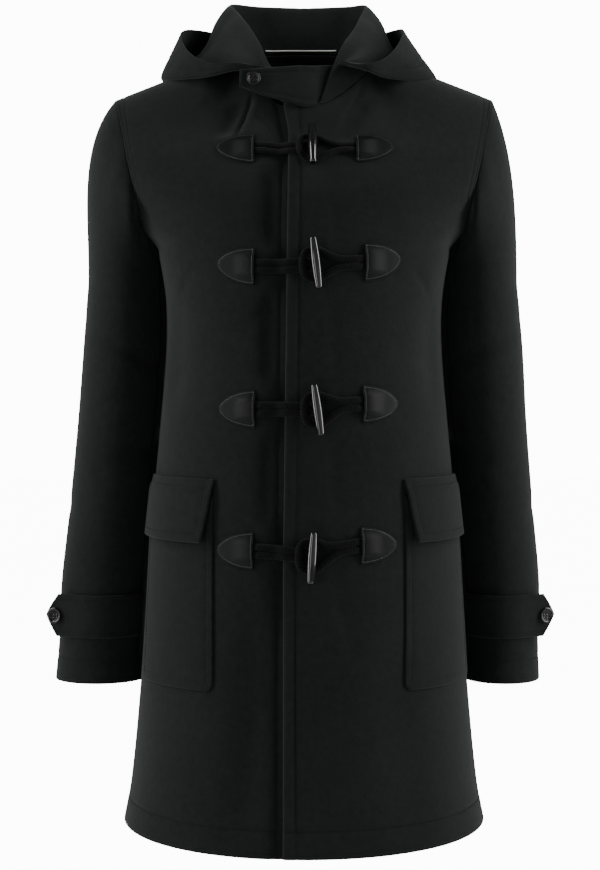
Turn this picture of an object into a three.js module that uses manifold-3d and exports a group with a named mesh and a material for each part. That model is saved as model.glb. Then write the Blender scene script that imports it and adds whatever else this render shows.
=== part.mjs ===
// A duffle coat of heavy black wool, in the rounded shape it has when it is worn, with nobody in it.
// Millimetres. +Z is up, the front faces -Y and the wearer's left is at +X.
// The origin is at the middle of the neck, level with the inner ends of the shoulder seams.
import * as THREE from "three";
import { mergeVertices } from "three/addons/utils/BufferGeometryUtils.js";
import Module from "manifold-3d";

const wasm = await Module();
wasm.setup();

// Cloth and trim
const CLOTH = 2.4; // thickness of the wool
const SEAM_GAP = 0.3; // space between two pieces that are sewn together
const LEATHER = 1.5; // thickness of the patches
const CORD_WIDE = 7.4; // a loop cord lies slightly flattened
const CORD_HIGH = 4.4;
const CORD_FLAT = 2.6; // its height where it is sewn down under a patch

// Front opening
const LAP_TOP = 16; // how far the upper front reaches past the middle at the neck
const LAP_HEM = 22; // and at the pockets and below
const UNDERLAP = 34; // how far the lower front runs on below it
const LAP_DROP = CLOTH + 1.2; // how much deeper the lower front lies there

// Heights
const HEM = -840;
const UNDERARM = -232;
const YOKE = -98; // above this height the panels run over the shoulder to the seams
const RISE = 90; // nominal length of that run
const TOP = YOKE + RISE;

// Neck and shoulder
const NECK_FRONT = [0, -72, -66];
const NECK_SIDE = [78, -4, 0];
const NECK_BACK = [0, 62, 12];
const SHOULDER_TIP = [205, 1, -48];
const NECK_SHARE = 0.45; // share of a panel's top edge that is neckline, the rest is shoulder seam

// Sections of the front, from the hem up. z and depth are at the middle; edge is the side seam or
// the armhole; turn is the angle there between the section and the front-to-back direction.
const FRONT_SECTIONS = [
  { z: -840, depth: 168, edgeX: 199, edgeY: 3, edgeZ: -836, turn: 0, full: 0.6 },
  { z: -795, depth: 162, edgeX: 191, edgeY: 3, edgeZ: -793, turn: 0, full: 0.6 },
  { z: -700, depth: 154, edgeX: 181.5, edgeY: 3, edgeZ: -700, turn: 0, full: 0.6 },
  { z: -600, depth: 148, edgeX: 174, edgeY: 3, edgeZ: -600, turn: 0, full: 0.6 },
  { z: -500, depth: 143, edgeX: 167, edgeY: 3, edgeZ: -500, turn: 0, full: 0.61 },
  { z: -400, depth: 139, edgeX: 157.5, edgeY: 3, edgeZ: -400, turn: 0, full: 0.62 },
  { z: -320, depth: 136, edgeX: 151, edgeY: 3, edgeZ: -320, turn: 0, full: 0.63 },
  { z: -270, depth: 134, edgeX: 150.3, edgeY: 3, edgeZ: -266, turn: -3, full: 0.64 },
  { z: -232, depth: 131, edgeX: 154, edgeY: 3, edgeZ: -216, turn: -12, full: 0.64 },
  { z: -214, depth: 129.5, edgeX: 168.5, edgeY: -34, edgeZ: -198, turn: 20, full: 0.62 },
  { z: -190, depth: 126.5, edgeX: 177, edgeY: -46, edgeZ: -174, turn: 36, full: 0.58 },
  { z: -157, depth: 120.5, edgeX: 181, edgeY: -62, edgeZ: -151, turn: 44, full: 0.54 },
  { z: -124, depth: 104.5, edgeX: 189, edgeY: -57, edgeZ: -117, turn: 48, full: 0.5 },
  { z: -98, depth: 87, edgeX: 195.5, edgeY: -43, edgeZ: -87, turn: 50, full: 0.48 },
];

// The same for the back.
const BACK_SECTIONS = [
  { z: -836, depth: 160, edgeX: 199, edgeY: 3, edgeZ: -836, turn: 0, full: 0.6 },
  { z: -793, depth: 155, edgeX: 191, edgeY: 3, edgeZ: -793, turn: 0, full: 0.6 },
  { z: -700, depth: 146, edgeX: 181.5, edgeY: 3, edgeZ: -700, turn: 0, full: 0.6 },
  { z: -600, depth: 137, edgeX: 174, edgeY: 3, edgeZ: -600, turn: 0, full: 0.6 },
  { z: -500, depth: 129, edgeX: 167, edgeY: 3, edgeZ: -500, turn: 0, full: 0.61 },
  { z: -400, depth: 121, edgeX: 157.5, edgeY: 3, edgeZ: -400, turn: 0, full: 0.62 },
  { z: -320, depth: 117, edgeX: 151, edgeY: 3, edgeZ: -320, turn: 0, full: 0.63 },
  { z: -270, depth: 118, edgeX: 150.3, edgeY: 3, edgeZ: -266, turn: 0, full: 0.64 },
  { z: -232, depth: 120, edgeX: 154, edgeY: 3, edgeZ: -216, turn: 2, full: 0.64 },
  { z: -214, depth: 121.5, edgeX: 164, edgeY: 36, edgeZ: -214, turn: 20, full: 0.62 },
  { z: -190, depth: 122, edgeX: 177, edgeY: 60, edgeZ: -186, turn: 36, full: 0.58 },
  { z: -157, depth: 121, edgeX: 186, edgeY: 68, edgeZ: -150, turn: 44, full: 0.54 },
  { z: -124, depth: 116, edgeX: 193, edgeY: 61, edgeZ: -113, turn: 48, full: 0.5 },
  { z: -98, depth: 109, edgeX: 199, edgeY: 44, edgeZ: -83, turn: 50, full: 0.48 },
];

// Largest folds of the body. s is the distance along the cloth from the middle (to the wearer's left
// is positive) at the fold's upper end, lean what it moves by towards its lower end.
const FRONT_FOLDS = [
  { s: -37, lean: 2, wide: 12, deep: 5.5, top: -125, bottom: -226 },
  { s: -36, lean: -2, wide: 11, deep: 4.5, top: -248, bottom: -368 },
  { s: -36, lean: -4, wide: 11, deep: 3.5, top: -395, bottom: -512 },
  { s: -40, lean: -22, wide: 26, deep: 6.5, top: -540, bottom: -850 },
  { s: -62, lean: -26, wide: 11, deep: 4, top: -52, bottom: -102 },
  { s: 66, lean: -26, wide: 13, deep: 5, top: -50, bottom: -112 },
  { s: 92, lean: 26, wide: 30, deep: 3, top: -600, bottom: -860 },
  { s: -150, lean: -14, wide: 24, deep: 2.5, top: -250, bottom: -400 },
  { s: 150, lean: 14, wide: 24, deep: 2.5, top: -250, bottom: -400 },
];
const BACK_FOLDS = [
  { s: -18, lean: -34, wide: 30, deep: 5, top: -360, bottom: -860 },
  { s: 88, lean: 34, wide: 34, deep: 6, top: -420, bottom: -860 },
  { s: -128, lean: -26, wide: 26, deep: 4, top: -470, bottom: -860 },
  { s: -120, lean: 30, wide: 18, deep: 3.5, top: -150, bottom: -300 },
  { s: 124, lean: -34, wide: 18, deep: 3.5, top: -140, bottom: -300 },
];

// Sections of a sleeve below the armhole, as ovals. x and y are the centre, wide and deep the halves;
// right and left are what the wearer's right and left sleeve is wider by on its outer side.
const SLEEVE_SECTIONS = [
  { z: -690, x: 223, y: 44, wide: 43, deep: 46, right: 14.5, left: 0 },
  { z: -640, x: 222.5, y: 42, wide: 42.5, deep: 47, right: 10.5, left: -1 },
  { z: -580, x: 219, y: 38, wide: 44, deep: 50, right: 9.5, left: 1.5 },
  { z: -500, x: 211, y: 32, wide: 44, deep: 54, right: 7.5, left: 1.5 },
  { z: -400, x: 202, y: 27, wide: 43.7, deep: 58, right: 6, left: 2 },
  { z: -320, x: 196.5, y: 24, wide: 44.8, deep: 61, right: 3.5, left: 1.5 },
  { z: -244, x: 195, y: 22, wide: 43.6, deep: 63, right: 0, left: -3 },
];
const CAP_BASE = -236; // where the sleeve cap ends
const TUCK = 1.6;
const CAP_LEAVE = { right: [0.6, -0.65], left: [0.4, -0.9] }; // a cap's way out and down at its top
const CUFF = -690;
const FRONT_SEAM = 30; // degrees round the sleeve from its inner line, towards the front
const BACK_SEAM = -60;

// The hood as it lies thrown back, one row for each section from the throat to the middle of the back.
// A section runs from the neckline up to the roll, down to the bottom of the bag and up to the rim.
// x is measured from the middle towards the half's own side.
const HOOD_RIGHT = [
  { at: 0, stand: [0, -71, -53], roll: [38, -66, -31], fall: [41, -63, -27], inner: [43, -61, -25],
    bottom: [44, -60, -24], belly: [45, -60, -24], rim: [46, -60, -21] },
  { at: 0.17, stand: [42, -54, -30], roll: [46, -42, 1], fall: [56, -49, -8], inner: [63, -56, -16],
    bottom: [70, -63, -24], belly: [75, -69, -26], rim: [70, -70, -19] },
  { at: 0.33, stand: [60, -33, -2], roll: [59, -15, 27], fall: [74, -24, 12], inner: [84, -36, -4],
    bottom: [95, -48, -24], belly: [106, -58, -31], rim: [100, -61, -18] },
  { at: 0.5, stand: [73, -1, 22], roll: [71, 11, 46], fall: [86, 4, 31], inner: [99, -6, 8],
    bottom: [118, -18, -13], belly: [146, -24, -29], rim: [125, -36, 0] },
  { at: 0.66, stand: [75, 35, 34], roll: [80, 42, 63], fall: [96, 42, 45], inner: [108, 40, 14],
    bottom: [126, 40, -10], belly: [155, 16, -24], rim: [133, 4, 27] },
  { at: 0.8, stand: [50, 64, 42], roll: [52, 73, 67], fall: [68, 92, 47], inner: [88, 108, -14],
    bottom: [106, 122, -74], belly: [138, 102, -36], rim: [112, 58, 38] },
  { at: 0.9, stand: [26, 71, 45], roll: [26, 84, 68], fall: [36, 101, 43], inner: [50, 121, -42],
    bottom: [60, 136, -150], belly: [86, 156, -86], rim: [62, 112, 36] },
  { at: 1, stand: [0, 73, 45], roll: [0, 87, 68], fall: [0, 105, 41], inner: [0, 126, -50],
    bottom: [0, 144, -186], belly: [0, 170, -96], rim: [0, 140, 34] },
];
const HOOD_LEFT = [
  { at: 0, stand: [20.5, -66, -50], roll: [27, -61, -32], fall: [31, -58, -24], inner: [34, -57, -20],
    bottom: [36, -56, -18], belly: [37, -55, -16], rim: [38, -54, -14] },
  { at: 0.17, stand: [43, -54, -28], roll: [41, -42, 2], fall: [50, -49, -8], inner: [56, -56, -14],
    bottom: [61, -62, -22], belly: [66, -68, -26], rim: [62, -69, -20] },
  { at: 0.33, stand: [61, -33, -2], roll: [54, -15, 25], fall: [68, -24, 12], inner: [76, -36, -4],
    bottom: [82, -46, -22], belly: [90, -56, -32], rim: [83, -60, -14] },
  { at: 0.5, stand: [73, -1, 22], roll: [62, 11, 44], fall: [78, 4, 30], inner: [90, -6, 8],
    bottom: [106, -16, -13], belly: [137, -22, -30], rim: [99, -36, 4] },
  { at: 0.66, stand: [75, 35, 34], roll: [68, 42, 62], fall: [84, 42, 45], inner: [96, 40, 14],
    bottom: [112, 40, -12], belly: [142, 16, -24], rim: [108, 6, 29] },
  { at: 0.8, stand: [50, 64, 42], roll: [50, 73, 67], fall: [66, 92, 47], inner: [86, 108, -14],
    bottom: [104, 122, -74], belly: [128, 102, -36], rim: [98, 58, 38] },
  { at: 0.9, stand: [26, 71, 45], roll: [26, 84, 68], fall: [36, 101, 43], inner: [50, 121, -42],
    bottom: [60, 136, -150], belly: [84, 156, -86], rim: [60, 112, 36] },
  HOOD_RIGHT[HOOD_RIGHT.length - 1],
];
const HOOD_KEYS = ["seam", "stand", "roll", "fall", "inner", "bottom", "belly", "rim"];
const HOOD_START = { right: 16, left: -15 }; // where each half starts on the neckline

// Toggle fastenings: z is the height of the right patch, toggle the toggle's x, tilt its lean in degrees,
// up its height above z, left and right the patches' straight edges, rise the left patch's height above z
const FASTENINGS = [
  { z: -112.7, toggle: 8.5, tilt: 1, up: -1, left: -52, right: 53.8, rise: 0.6 },
  { z: -237, toggle: 11.5, tilt: 6.6, up: 3.2, left: -51.2, right: 62.3, rise: 3.6 },
  { z: -382, toggle: 13, tilt: 8, up: -0.9, left: -50.3, right: 60.5, rise: 5.1 },
  { z: -527.4, toggle: 7.6, tilt: -4, up: -6.2, left: -52.2, right: 58.2, rise: 5.2 },
];
const TOGGLE = { length: 52.6, middle: 5.2, end: 3.7 };
const PATCH = { long: 40.6, high: 19.2, arch: 0.6, dome: 2.9, seat: 0.5 }; // seat is the space under it

// Pockets, measured along the cloth from the middle front
const POCKET = { top: -474, bottom: -674, wide: 122, thick: 2.4 };
const POCKET_INNER = { left: 97, right: 109 };
const FLAP = { top: -455, drop: 66, wide: 122, shift: 11, flare: 7, thick: 3 };

// Cuff straps and buttons
const STRAP = { top: -590, bottom: -638, thick: 3, from: 31, leaves: 117, end: 42, point: 15 };
const BUTTON = { radius: 8.7, high: 3.2, seat: 0.8 };

// Throat tab, one row for each section from the wearer's left to its free end
const TAB_SECTIONS = [
  { x: 30, y: -58, bottom: -60, topY: -44, top: -18 },
  { x: 22, y: -63, bottom: -62, topY: -50, top: -19 },
  { x: 14, y: -68, bottom: -64.5, topY: -55, top: -20 },
  { x: 6, y: -72, bottom: -65.5, topY: -60, top: -21 },
  { x: -4, y: -75, bottom: -64.5, topY: -64, top: -21.5 },
  { x: -16, y: -76, bottom: -61.5, topY: -66.5, top: -22.5 },
  { x: -30, y: -74.5, bottom: -58, topY: -67, top: -23.5 },
  { x: -44, y: -71.5, bottom: -53.5, topY: -67.5, top: -24.5 },
  { x: -56, y: -70, bottom: -48.5, topY: -68.5, top: -25.5 },
  { x: -68, y: -69.5, bottom: -44, topY: -69.5, top: -26 },
];
const TAB = { thick: 2.6 };

const radians = (degrees) => (degrees * Math.PI) / 180;
const mix = (a, b, t) => a + (b - a) * t;
const clamp = (x) => Math.min(1, Math.max(0, x));
const smooth = (low, high, x) => {
  const t = clamp((x - low) / (high - low));
  return t * t * (3 - 2 * t);
};
const vec = (p) => new THREE.Vector3(p[0], p[1], p[2]);
const spread = (low, high, count) =>
  Array.from({ length: count }, (_, i) => mix(low, high, i / (count - 1)));

// Cubic Hermite between two values with a slope at each end
function hermite(a, slopeA, b, slopeB, t) {
  const t2 = t * t;
  const t3 = t2 * t;
  return (2 * t3 - 3 * t2 + 1) * a + (t3 - 2 * t2 + t) * slopeA + (3 * t2 - 2 * t3) * b + (t3 - t2) * slopeB;
}

// A table's column at any place between its rows, as a smooth curve through them
function column(table, key, at, by) {
  const last = table.length - 1;
  const up = table[last][by] > table[0][by] ? 1 : -1;
  let i = 0;
  while (i < last - 1 && up * (at - table[i + 1][by]) > 0) i++;
  const step = table[i + 1][by] - table[i][by];
  const slope = (j) => {
    const before = table[Math.max(j - 1, 0)];
    const after = table[Math.min(j + 1, last)];
    return ((after[key] - before[key]) / (after[by] - before[by])) * step;
  };
  const t = clamp((at - table[i][by]) / step);
  return hermite(table[i][key], slope(i), table[i + 1][key], slope(i + 1), t);
}

// A smooth curve through points that are lists of numbers, at t from 0 to 1
function curveThrough(points, t) {
  const last = points.length - 1;
  const at = clamp(t) * last;
  const i = Math.min(Math.floor(at), last - 1);
  const before = points[Math.max(i - 1, 0)];
  const after = points[Math.min(i + 2, last)];
  return points[i].map((a, k) => {
    const b = points[i + 1][k];
    return hermite(a, (b - before[k]) / (i ? 2 : 1), b, (after[k] - a) / (i < last - 1 ? 2 : 1), at - i);
  });
}

function bezier(p, t) {
  const s = 1 - t;
  const weights = [s * s * s, 3 * s * s * t, 3 * s * t * t, t * t * t];
  return [0, 1, 2].map((k) => p.reduce((sum, q, i) => sum + weights[i] * q[k], 0));
}

// The point at a share of a curve's length, from a fine set of its points
function alongCurve(curve, samples = 40) {
  const points = spread(0, 1, samples + 1).map((t) => vec(curve(t)));
  const lengths = [0];
  for (let i = 1; i <= samples; i++) lengths.push(lengths[i - 1] + points[i].distanceTo(points[i - 1]));
  const total = lengths[samples];
  const at = (share) => {
    const want = clamp(share) * total;
    let i = 1;
    while (i < samples && lengths[i] < want) i++;
    const t = (want - lengths[i - 1]) / (lengths[i] - lengths[i - 1]);
    return points[i - 1].clone().lerp(points[i], t);
  };
  return { total, at };
}

// Half of a body section from the middle to the side seam or armhole. face is -1 front, 1 back.
const remembered = new Map();
function bodyRow(face, z) {
  const key = face + ":" + z.toFixed(3);
  if (remembered.has(key)) return remembered.get(key);
  const table = face < 0 ? FRONT_SECTIONS : BACK_SECTIONS;
  const part = table.filter((row) => (z < UNDERARM ? row.z <= UNDERARM : row.z >= UNDERARM));
  const get = (name, rows = part) => column(rows, name, z, "z");
  const depth = face * get("depth", table);
  const edge = [get("edgeX"), get("edgeY"), get("edgeZ")];
  const turn = radians(get("turn"));
  const handle = get("full") * Math.abs(depth - edge[1]) * mix(1, 0.8, Math.sin(turn));
  const corner = [edge[0] - handle * Math.sin(turn), edge[1] + face * handle * Math.cos(turn), edge[2]];
  const points = [[0, depth, z], [get("full") * edge[0], depth, z], corner, edge];
  const row = alongCurve((t) => bezier(points, t));
  remembered.set(key, row);
  return row;
}

// The top edge of a body panel: the neckline, then the shoulder seam
const necklines = {
  "-1": alongCurve((t) => bezier([NECK_FRONT, [32, -72, -66], [75, -44, -22], NECK_SIDE], t)),
  1: alongCurve((t) => bezier([NECK_BACK, [44, 62, 12], [82, 40, 6], NECK_SIDE], t)),
};
function topEdge(face, u) {
  if (u < NECK_SHARE) return necklines[face].at(u / NECK_SHARE);
  return vec(NECK_SIDE).lerp(vec(SHOULDER_TIP), (u - NECK_SHARE) / (1 - NECK_SHARE));
}

// A point of the body. u runs from the middle (0) to the edge (1), negative on the wearer's right.
function bodyPoint(face, u, h) {
  const share = Math.abs(u);
  let p;
  if (h <= YOKE) p = bodyRow(face, h).at(share);
  else {
    const low = bodyRow(face, YOKE).at(share);
    const rising = low.clone().sub(bodyRow(face, YOKE - 8).at(share)).normalize();
    const high = topEdge(face, share);
    const far = high.distanceTo(low);
    const neck = smooth(NECK_SHARE + 0.12, NECK_SHARE - 0.1, share);
    const arriving = new THREE.Vector3(0, -face * mix(1, 0.62, neck), mix(0.02, 0.85, neck)).normalize();
    const [leave, arrive] = [far * 1.05, far * mix(1.15, 0.8, neck)];
    const t = (h - YOKE) / RISE;
    p = new THREE.Vector3(
      ...["x", "y", "z"].map((k) => hermite(low[k], rising[k] * leave, high[k], arriving[k] * arrive, t)),
    );
  }
  if (u < 0) p.x = -p.x;
  return p;
}

// How deep the folds are at a place of the body
function foldDepth(face, s, z) {
  return (face < 0 ? FRONT_FOLDS : BACK_FOLDS).reduce((sum, fold) => {
    const t = (fold.top - z) / (fold.top - fold.bottom);
    const across = (s - fold.s - fold.lean * t) / fold.wide;
    return sum + fold.deep * smooth(0, 0.3, t) * smooth(1, 0.72, t) * Math.exp(-across * across);
  }, 0);
}

// Both panels stand square to the shoulder seam where they meet
function shoulderNormal(side) {
  const seam = vec(SHOULDER_TIP).sub(vec(NECK_SIDE));
  return new THREE.Vector3(-side * seam.z, 0, seam.x).normalize();
}

const rowLength = (face, h) => bodyRow(face, Math.min(h, YOKE)).total;

// Outward direction of a surface given as a function of two numbers
function outward(surface, a, b, stepA, stepB, sign) {
  const alongA = surface(a + stepA, b).sub(surface(a - stepA, b));
  const alongB = surface(a, b + stepB).sub(surface(a, b - stepB));
  return alongA.cross(alongB).normalize().multiplyScalar(sign);
}

// The cloth of the body, folds included, moved out by off. s is the distance from the middle.
function onBody(face, s, h, off = 0, drop = 0) {
  const u = s / rowLength(face, h);
  const height = Math.min(Math.max(h, HEM + 1), TOP - 1);
  const share = Math.min(Math.max(u, -0.995), 0.995);
  const n = outward((a, b) => bodyPoint(face, a, b), share, height, 0.004, 1, -face);
  if (Math.abs(u) >= NECK_SHARE) {
    n.lerp(shoulderNormal(Math.sign(s)), smooth(TOP - 12, TOP - 2, h)).normalize();
  }
  const p = bodyPoint(face, u, h);
  return p.addScaledVector(n, off - drop - foldDepth(face, s, p.z));
}

// A closed wall between two grids of points, grid[row][column]
function wallSolid(outer, inner) {
  const rows = outer.length;
  const columns = outer[0].length;
  const points = [...outer.flat(), ...inner.flat()];
  const out = (r, c) => r * columns + c;
  const back = (r, c) => rows * columns + out(r, c);
  const faces = [];
  const quad = (a, b, c, d) => faces.push(a, b, c, a, c, d);
  for (let r = 0; r < rows - 1; r++)
    for (let c = 0; c < columns - 1; c++) {
      quad(out(r, c), out(r, c + 1), out(r + 1, c + 1), out(r + 1, c));
      quad(back(r, c), back(r + 1, c), back(r + 1, c + 1), back(r, c + 1));
    }
  for (let c = 0; c < columns - 1; c++) {
    quad(out(0, c), back(0, c), back(0, c + 1), out(0, c + 1));
    quad(out(rows - 1, c), out(rows - 1, c + 1), back(rows - 1, c + 1), back(rows - 1, c));
  }
  for (let r = 0; r < rows - 1; r++) {
    quad(out(r, 0), out(r + 1, 0), back(r + 1, 0), back(r, 0));
    quad(out(r, columns - 1), back(r, columns - 1), back(r + 1, columns - 1), out(r + 1, columns - 1));
  }
  return facingOut(points, faces);
}

function facingOut(points, faces) {
  const geometry = new THREE.BufferGeometry();
  geometry.setAttribute("position", new THREE.Float32BufferAttribute(points.flatMap((p) => p.toArray()), 3));
  geometry.setIndex(faces);
  if (signedVolume(points, faces) < 0) flip(geometry);
  return geometry;
}

function signedVolume(points, faces) {
  let sum = 0;
  for (let i = 0; i < faces.length; i += 3)
    sum += points[faces[i]].dot(points[faces[i + 1]].clone().cross(points[faces[i + 2]]));
  return sum / 6;
}

function flip(geometry) {
  const index = geometry.index.array;
  for (let i = 0; i < index.length; i += 3) [index[i + 1], index[i + 2]] = [index[i + 2], index[i + 1]];
}

// Booleans
const FINEST = 0.02; // details below this size are dropped from a cut piece
function toSolid(geometry) {
  const merged = mergeVertices(new THREE.BufferGeometry()
    .setAttribute("position", geometry.getAttribute("position"))
    .setIndex(geometry.index), 1e-4);
  const mesh = new wasm.Mesh({
    numProp: 3,
    vertProperties: merged.attributes.position.array,
    triVerts: new Uint32Array(merged.index.array),
  });
  return new wasm.Manifold(mesh);
}

function toGeometry(solid) {
  const whole = solid.decompose().sort((a, b) => b.volume() - a.volume())[0];
  const mesh = whole.simplify(FINEST).getMesh();
  const geometry = new THREE.BufferGeometry();
  geometry.setAttribute("position", new THREE.BufferAttribute(mesh.vertProperties, 3));
  geometry.setIndex(new THREE.BufferAttribute(mesh.triVerts, 1));
  return geometry;
}

// The three body panels. grow makes a fatter copy, which is used to trim what is sewn to the panel.
const HEIGHTS = [
  HEM, -796, -740, -674, -608, -542, -474, -410, -350, -296, -256, UNDERARM,
  -214, -190, -157, -124, YOKE, ...[0.25, 0.5, 0.72, 0.88, 1].map((t) => YOKE + RISE * t),
];
const LAP_COLUMNS = [-6, 8, 21, UNDERLAP]; // shared by the two fronts where one lies on the other
const OVER_COLUMNS = [50, 70];
const UNDER_COLUMNS = [27, 34, 42, 54, 72];
const SIDE_COLUMNS = [NECK_SHARE, 0.55, 0.65, 0.75, 0.84, 0.92]; // as shares of the half

const lapAt = (z) => mix(LAP_TOP, LAP_HEM, clamp((-60 - z) / 490));

function frontColumns(side, h, grow = 0) {
  const length = rowLength(-1, h);
  const lap = lapAt(h);
  const near = side > 0
    ? [-lap - grow, ...LAP_COLUMNS, ...OVER_COLUMNS]
    : [-UNDERLAP - grow, ...LAP_COLUMNS.slice(0, -1).map((s) => -s).reverse(), lap, ...UNDER_COLUMNS];
  return [...near, ...SIDE_COLUMNS.map((share) => share * length), length - SEAM_GAP / 2 + grow];
}

function frontPanel(side, grow = 0) {
  const grid = (off) => HEIGHTS.map((h) => {
    const height = h === TOP ? TOP - SEAM_GAP / 2 + grow : h;
    return frontColumns(side, h, grow).map((s) => {
      const drop = side < 0 ? LAP_DROP * smooth(48, LAP_HEM, s) : 0;
      return onBody(-1, side * s, height, off, drop);
    });
  });
  return wallSolid(grid(grow), grid(-CLOTH - grow));
}

const BACK_COLUMNS = [0.11, 0.22, 0.33, ...SIDE_COLUMNS]; // as shares of the half
function backPanel(grow = 0) {
  const grid = (off) => HEIGHTS.map((h) => {
    const length = rowLength(1, h);
    const edge = length - SEAM_GAP / 2 + grow;
    const height = h === TOP ? TOP - SEAM_GAP / 2 + grow : h;
    const half = [...BACK_COLUMNS.map((share) => share * length), edge];
    return [...half.map((s) => -s).reverse(), 0, ...half].map((s) => onBody(1, s, height, off));
  });
  return wallSolid(grid(grow), grid(-CLOTH - grow));
}

const bodyPanels = (grow) => [frontPanel(1, grow), frontPanel(-1, grow), backPanel(grow)];

// What is left of a wall when the panels it lies on, made a seam's gap fatter, are cut from it
function trimmed(wall, panels) {
  const cut = panels.reduce((solid, panel) => solid.subtract(toSolid(panel)), toSolid(wall));
  return toGeometry(cut);
}

// The armhole's edge on one face, from the underarm to the shoulder tip
const armholes = {};
for (const face of [-1, 1])
  armholes[face] = alongCurve((t) => bodyPoint(face, 1, mix(UNDERARM, TOP, t)).toArray(), 60);

// A sleeve as a tube. round is degrees from the inner line towards the front; down runs from the
// armhole (0) through the end of the cap (1) and on to the cuff (2).
function sleeveRing(side, round, z) {
  const get = (name) => column(SLEEVE_SECTIONS, name, z, "z");
  const angle = radians(round);
  const more = get(side > 0 ? "left" : "right") / 2;
  return new THREE.Vector3(
    get("x") + more - (get("wide") + more) * Math.cos(angle),
    get("y") - get("deep") * Math.sin(angle),
    z,
  );
}
function sleevePoint(side, round, down) {
  if (down > 1) return sleeveRing(side, round, mix(CAP_BASE, CUFF, down - 1));
  const turn = ((round % 360) + 360) % 360;
  const start = turn <= 180 ? armholes[-1].at(turn / 180) : armholes[1].at((360 - turn) / 180);
  const end = sleeveRing(side, round, CAP_BASE);
  const far = end.distanceTo(start);
  const [high, front] = [(1 - Math.cos(radians(turn))) / 2, Math.sin(radians(turn))];
  const tuck = TUCK * Math.max(0, -front) * (1 - high) ** 2; // draws the back of the underarm in
  const [out, sink] = side > 0 ? CAP_LEAVE.left : CAP_LEAVE.right;
  const leave = vec([mix(-0.06, out, high) - tuck, -0.3 * front, mix(-1, sink, high)]).normalize();
  const arrive = sleeveRing(side, round, CAP_BASE - 10).sub(end).normalize();
  return new THREE.Vector3(...["x", "y", "z"].map((k) =>
    hermite(start[k], leave[k] * far, end[k], arrive[k] * far * 0.95, down)));
}

// Creases of a sleeve, most of them across the bend of the elbow and under the arm
const SLEEVE_FOLDS = [
  { z: -330, lean: 26, round: 60, wide: 11, deep: 3, reach: 70 },
  { z: -430, lean: -20, round: 40, wide: 12, deep: 2.6, reach: 60 },
  { z: -470, lean: 24, round: 250, wide: 12, deep: 3, reach: 75 },
  { z: -290, lean: -20, round: 270, wide: 12, deep: 3, reach: 60 },
];
function sleeveFoldDepth(round, z) {
  return SLEEVE_FOLDS.reduce((sum, fold) => {
    const away = ((((round - fold.round) % 360) + 540) % 360) - 180;
    const across = (z - fold.z - (fold.lean * away) / fold.reach) / fold.wide;
    const along = away / fold.reach;
    return sum + fold.deep * Math.exp(-across * across - along * along);
  }, 0);
}

function onSleeve(side, round, down, off = 0) {
  const point = (a, b) => sleevePoint(side, a, b);
  const n = outward(point, round, Math.min(Math.max(down, 0.02), 1.98), 2, 0.01, -1);
  const p = point(round, down);
  p.addScaledVector(n, off - sleeveFoldDepth(round, p.z));
  p.x *= side;
  return p;
}

const SLEEVE_DOWNS = [0, 0.08, 0.2, 0.4, 0.65, 1, 1.1, 1.21, 1.33, 1.45, 1.58, 1.71, 1.83, 1.92, 2];
function sleevePiece(side, from, to, count) {
  const gap = SEAM_GAP / 2 / 0.8; // in degrees, at about 0.8 mm a degree
  const grid = (off) => SLEEVE_DOWNS.map((down) =>
    spread(from + gap, to - gap, count).map((round) => onSleeve(side, round, down, off)));
  return trimmed(wallSolid(grid(0), grid(-CLOTH)), bodyPanels(SEAM_GAP));
}

// The hood. along runs from the throat (0) to the middle of the back (1), up from the neckline (0)
// to the rim (1). x is measured towards the half's own side.
function hoodSeam(side, along) {
  const start = side > 0 ? HOOD_START.right : HOOD_START.left;
  const front = necklines[-1];
  const first = start / front.total;
  let p;
  if (along < 0.5) {
    const share = mix(first, 1, along / 0.5);
    p = front.at(Math.abs(share));
    if (share < 0) p.x = -p.x;
  } else p = necklines[1].at(1 - (along - 0.5) / 0.5);
  p.z += SEAM_GAP + 0.4;
  return p.toArray();
}
function hoodColumn(side, along) {
  return HOOD_KEYS.map((key) => {
    if (key === "seam") return hoodSeam(side, along);
    return [0, 1, 2].map((axis) => {
      const sections = side > 0 ? HOOD_LEFT : HOOD_RIGHT;
      const rows = sections.map((section) => ({ at: section.at, value: section[key][axis] }));
      return column(rows, "value", along, "at");
    });
  });
}
function hoodPoint(side, along, up) {
  return vec(curveThrough(hoodColumn(side, along), up));
}

const HOOD_ALONGS = [0, 0.06, 0.12, 0.2, 0.28, 0.37, 0.45, 0.53, 0.61, 0.69, 0.76, 0.83, 0.89, 0.945, 1];
const HOOD_UPS = [
  0, 0.07, 0.14, 0.21, 0.26, 0.3, 0.36, 0.43, 0.5, 0.57, 0.63, 0.68, 0.72, 0.76, 0.81, 0.87, 0.93, 1,
];
function hoodHalf(side) {
  const middle = SEAM_GAP / 2;
  const grid = (off) => HOOD_UPS.map((up) => HOOD_ALONGS.map((along) => {
    const n = outward((a, b) => hoodPoint(side, a, b), Math.min(Math.max(along, 0.004), 0.996),
      Math.min(Math.max(up, 0.004), 0.996), 0.003, 0.003, 1);
    if (along === 1) n.setX(0).normalize();
    const p = hoodPoint(side, along, up).addScaledVector(n, off);
    p.x = (along === 1 ? middle : p.x) * side;
    return p;
  }));
  return trimmed(wallSolid(grid(CLOTH / 2), grid(-CLOTH / 2)), bodyPanels(SEAM_GAP));
}

// The front's outer surface as the fastenings meet it: the upper front over the lower one
function onFront(x, z, off) {
  const lap = lapAt(z);
  const drop = LAP_DROP * smooth(-lap + 2, -lap - 12, x) * smooth(-48, -19, x);
  return onBody(-1, x, z, off, drop);
}

// How much of a short length laid up the front is height
const upright = (z) => 16 / onFront(52, z + 8, 0).distanceTo(onFront(52, z - 8, 0));

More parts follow.
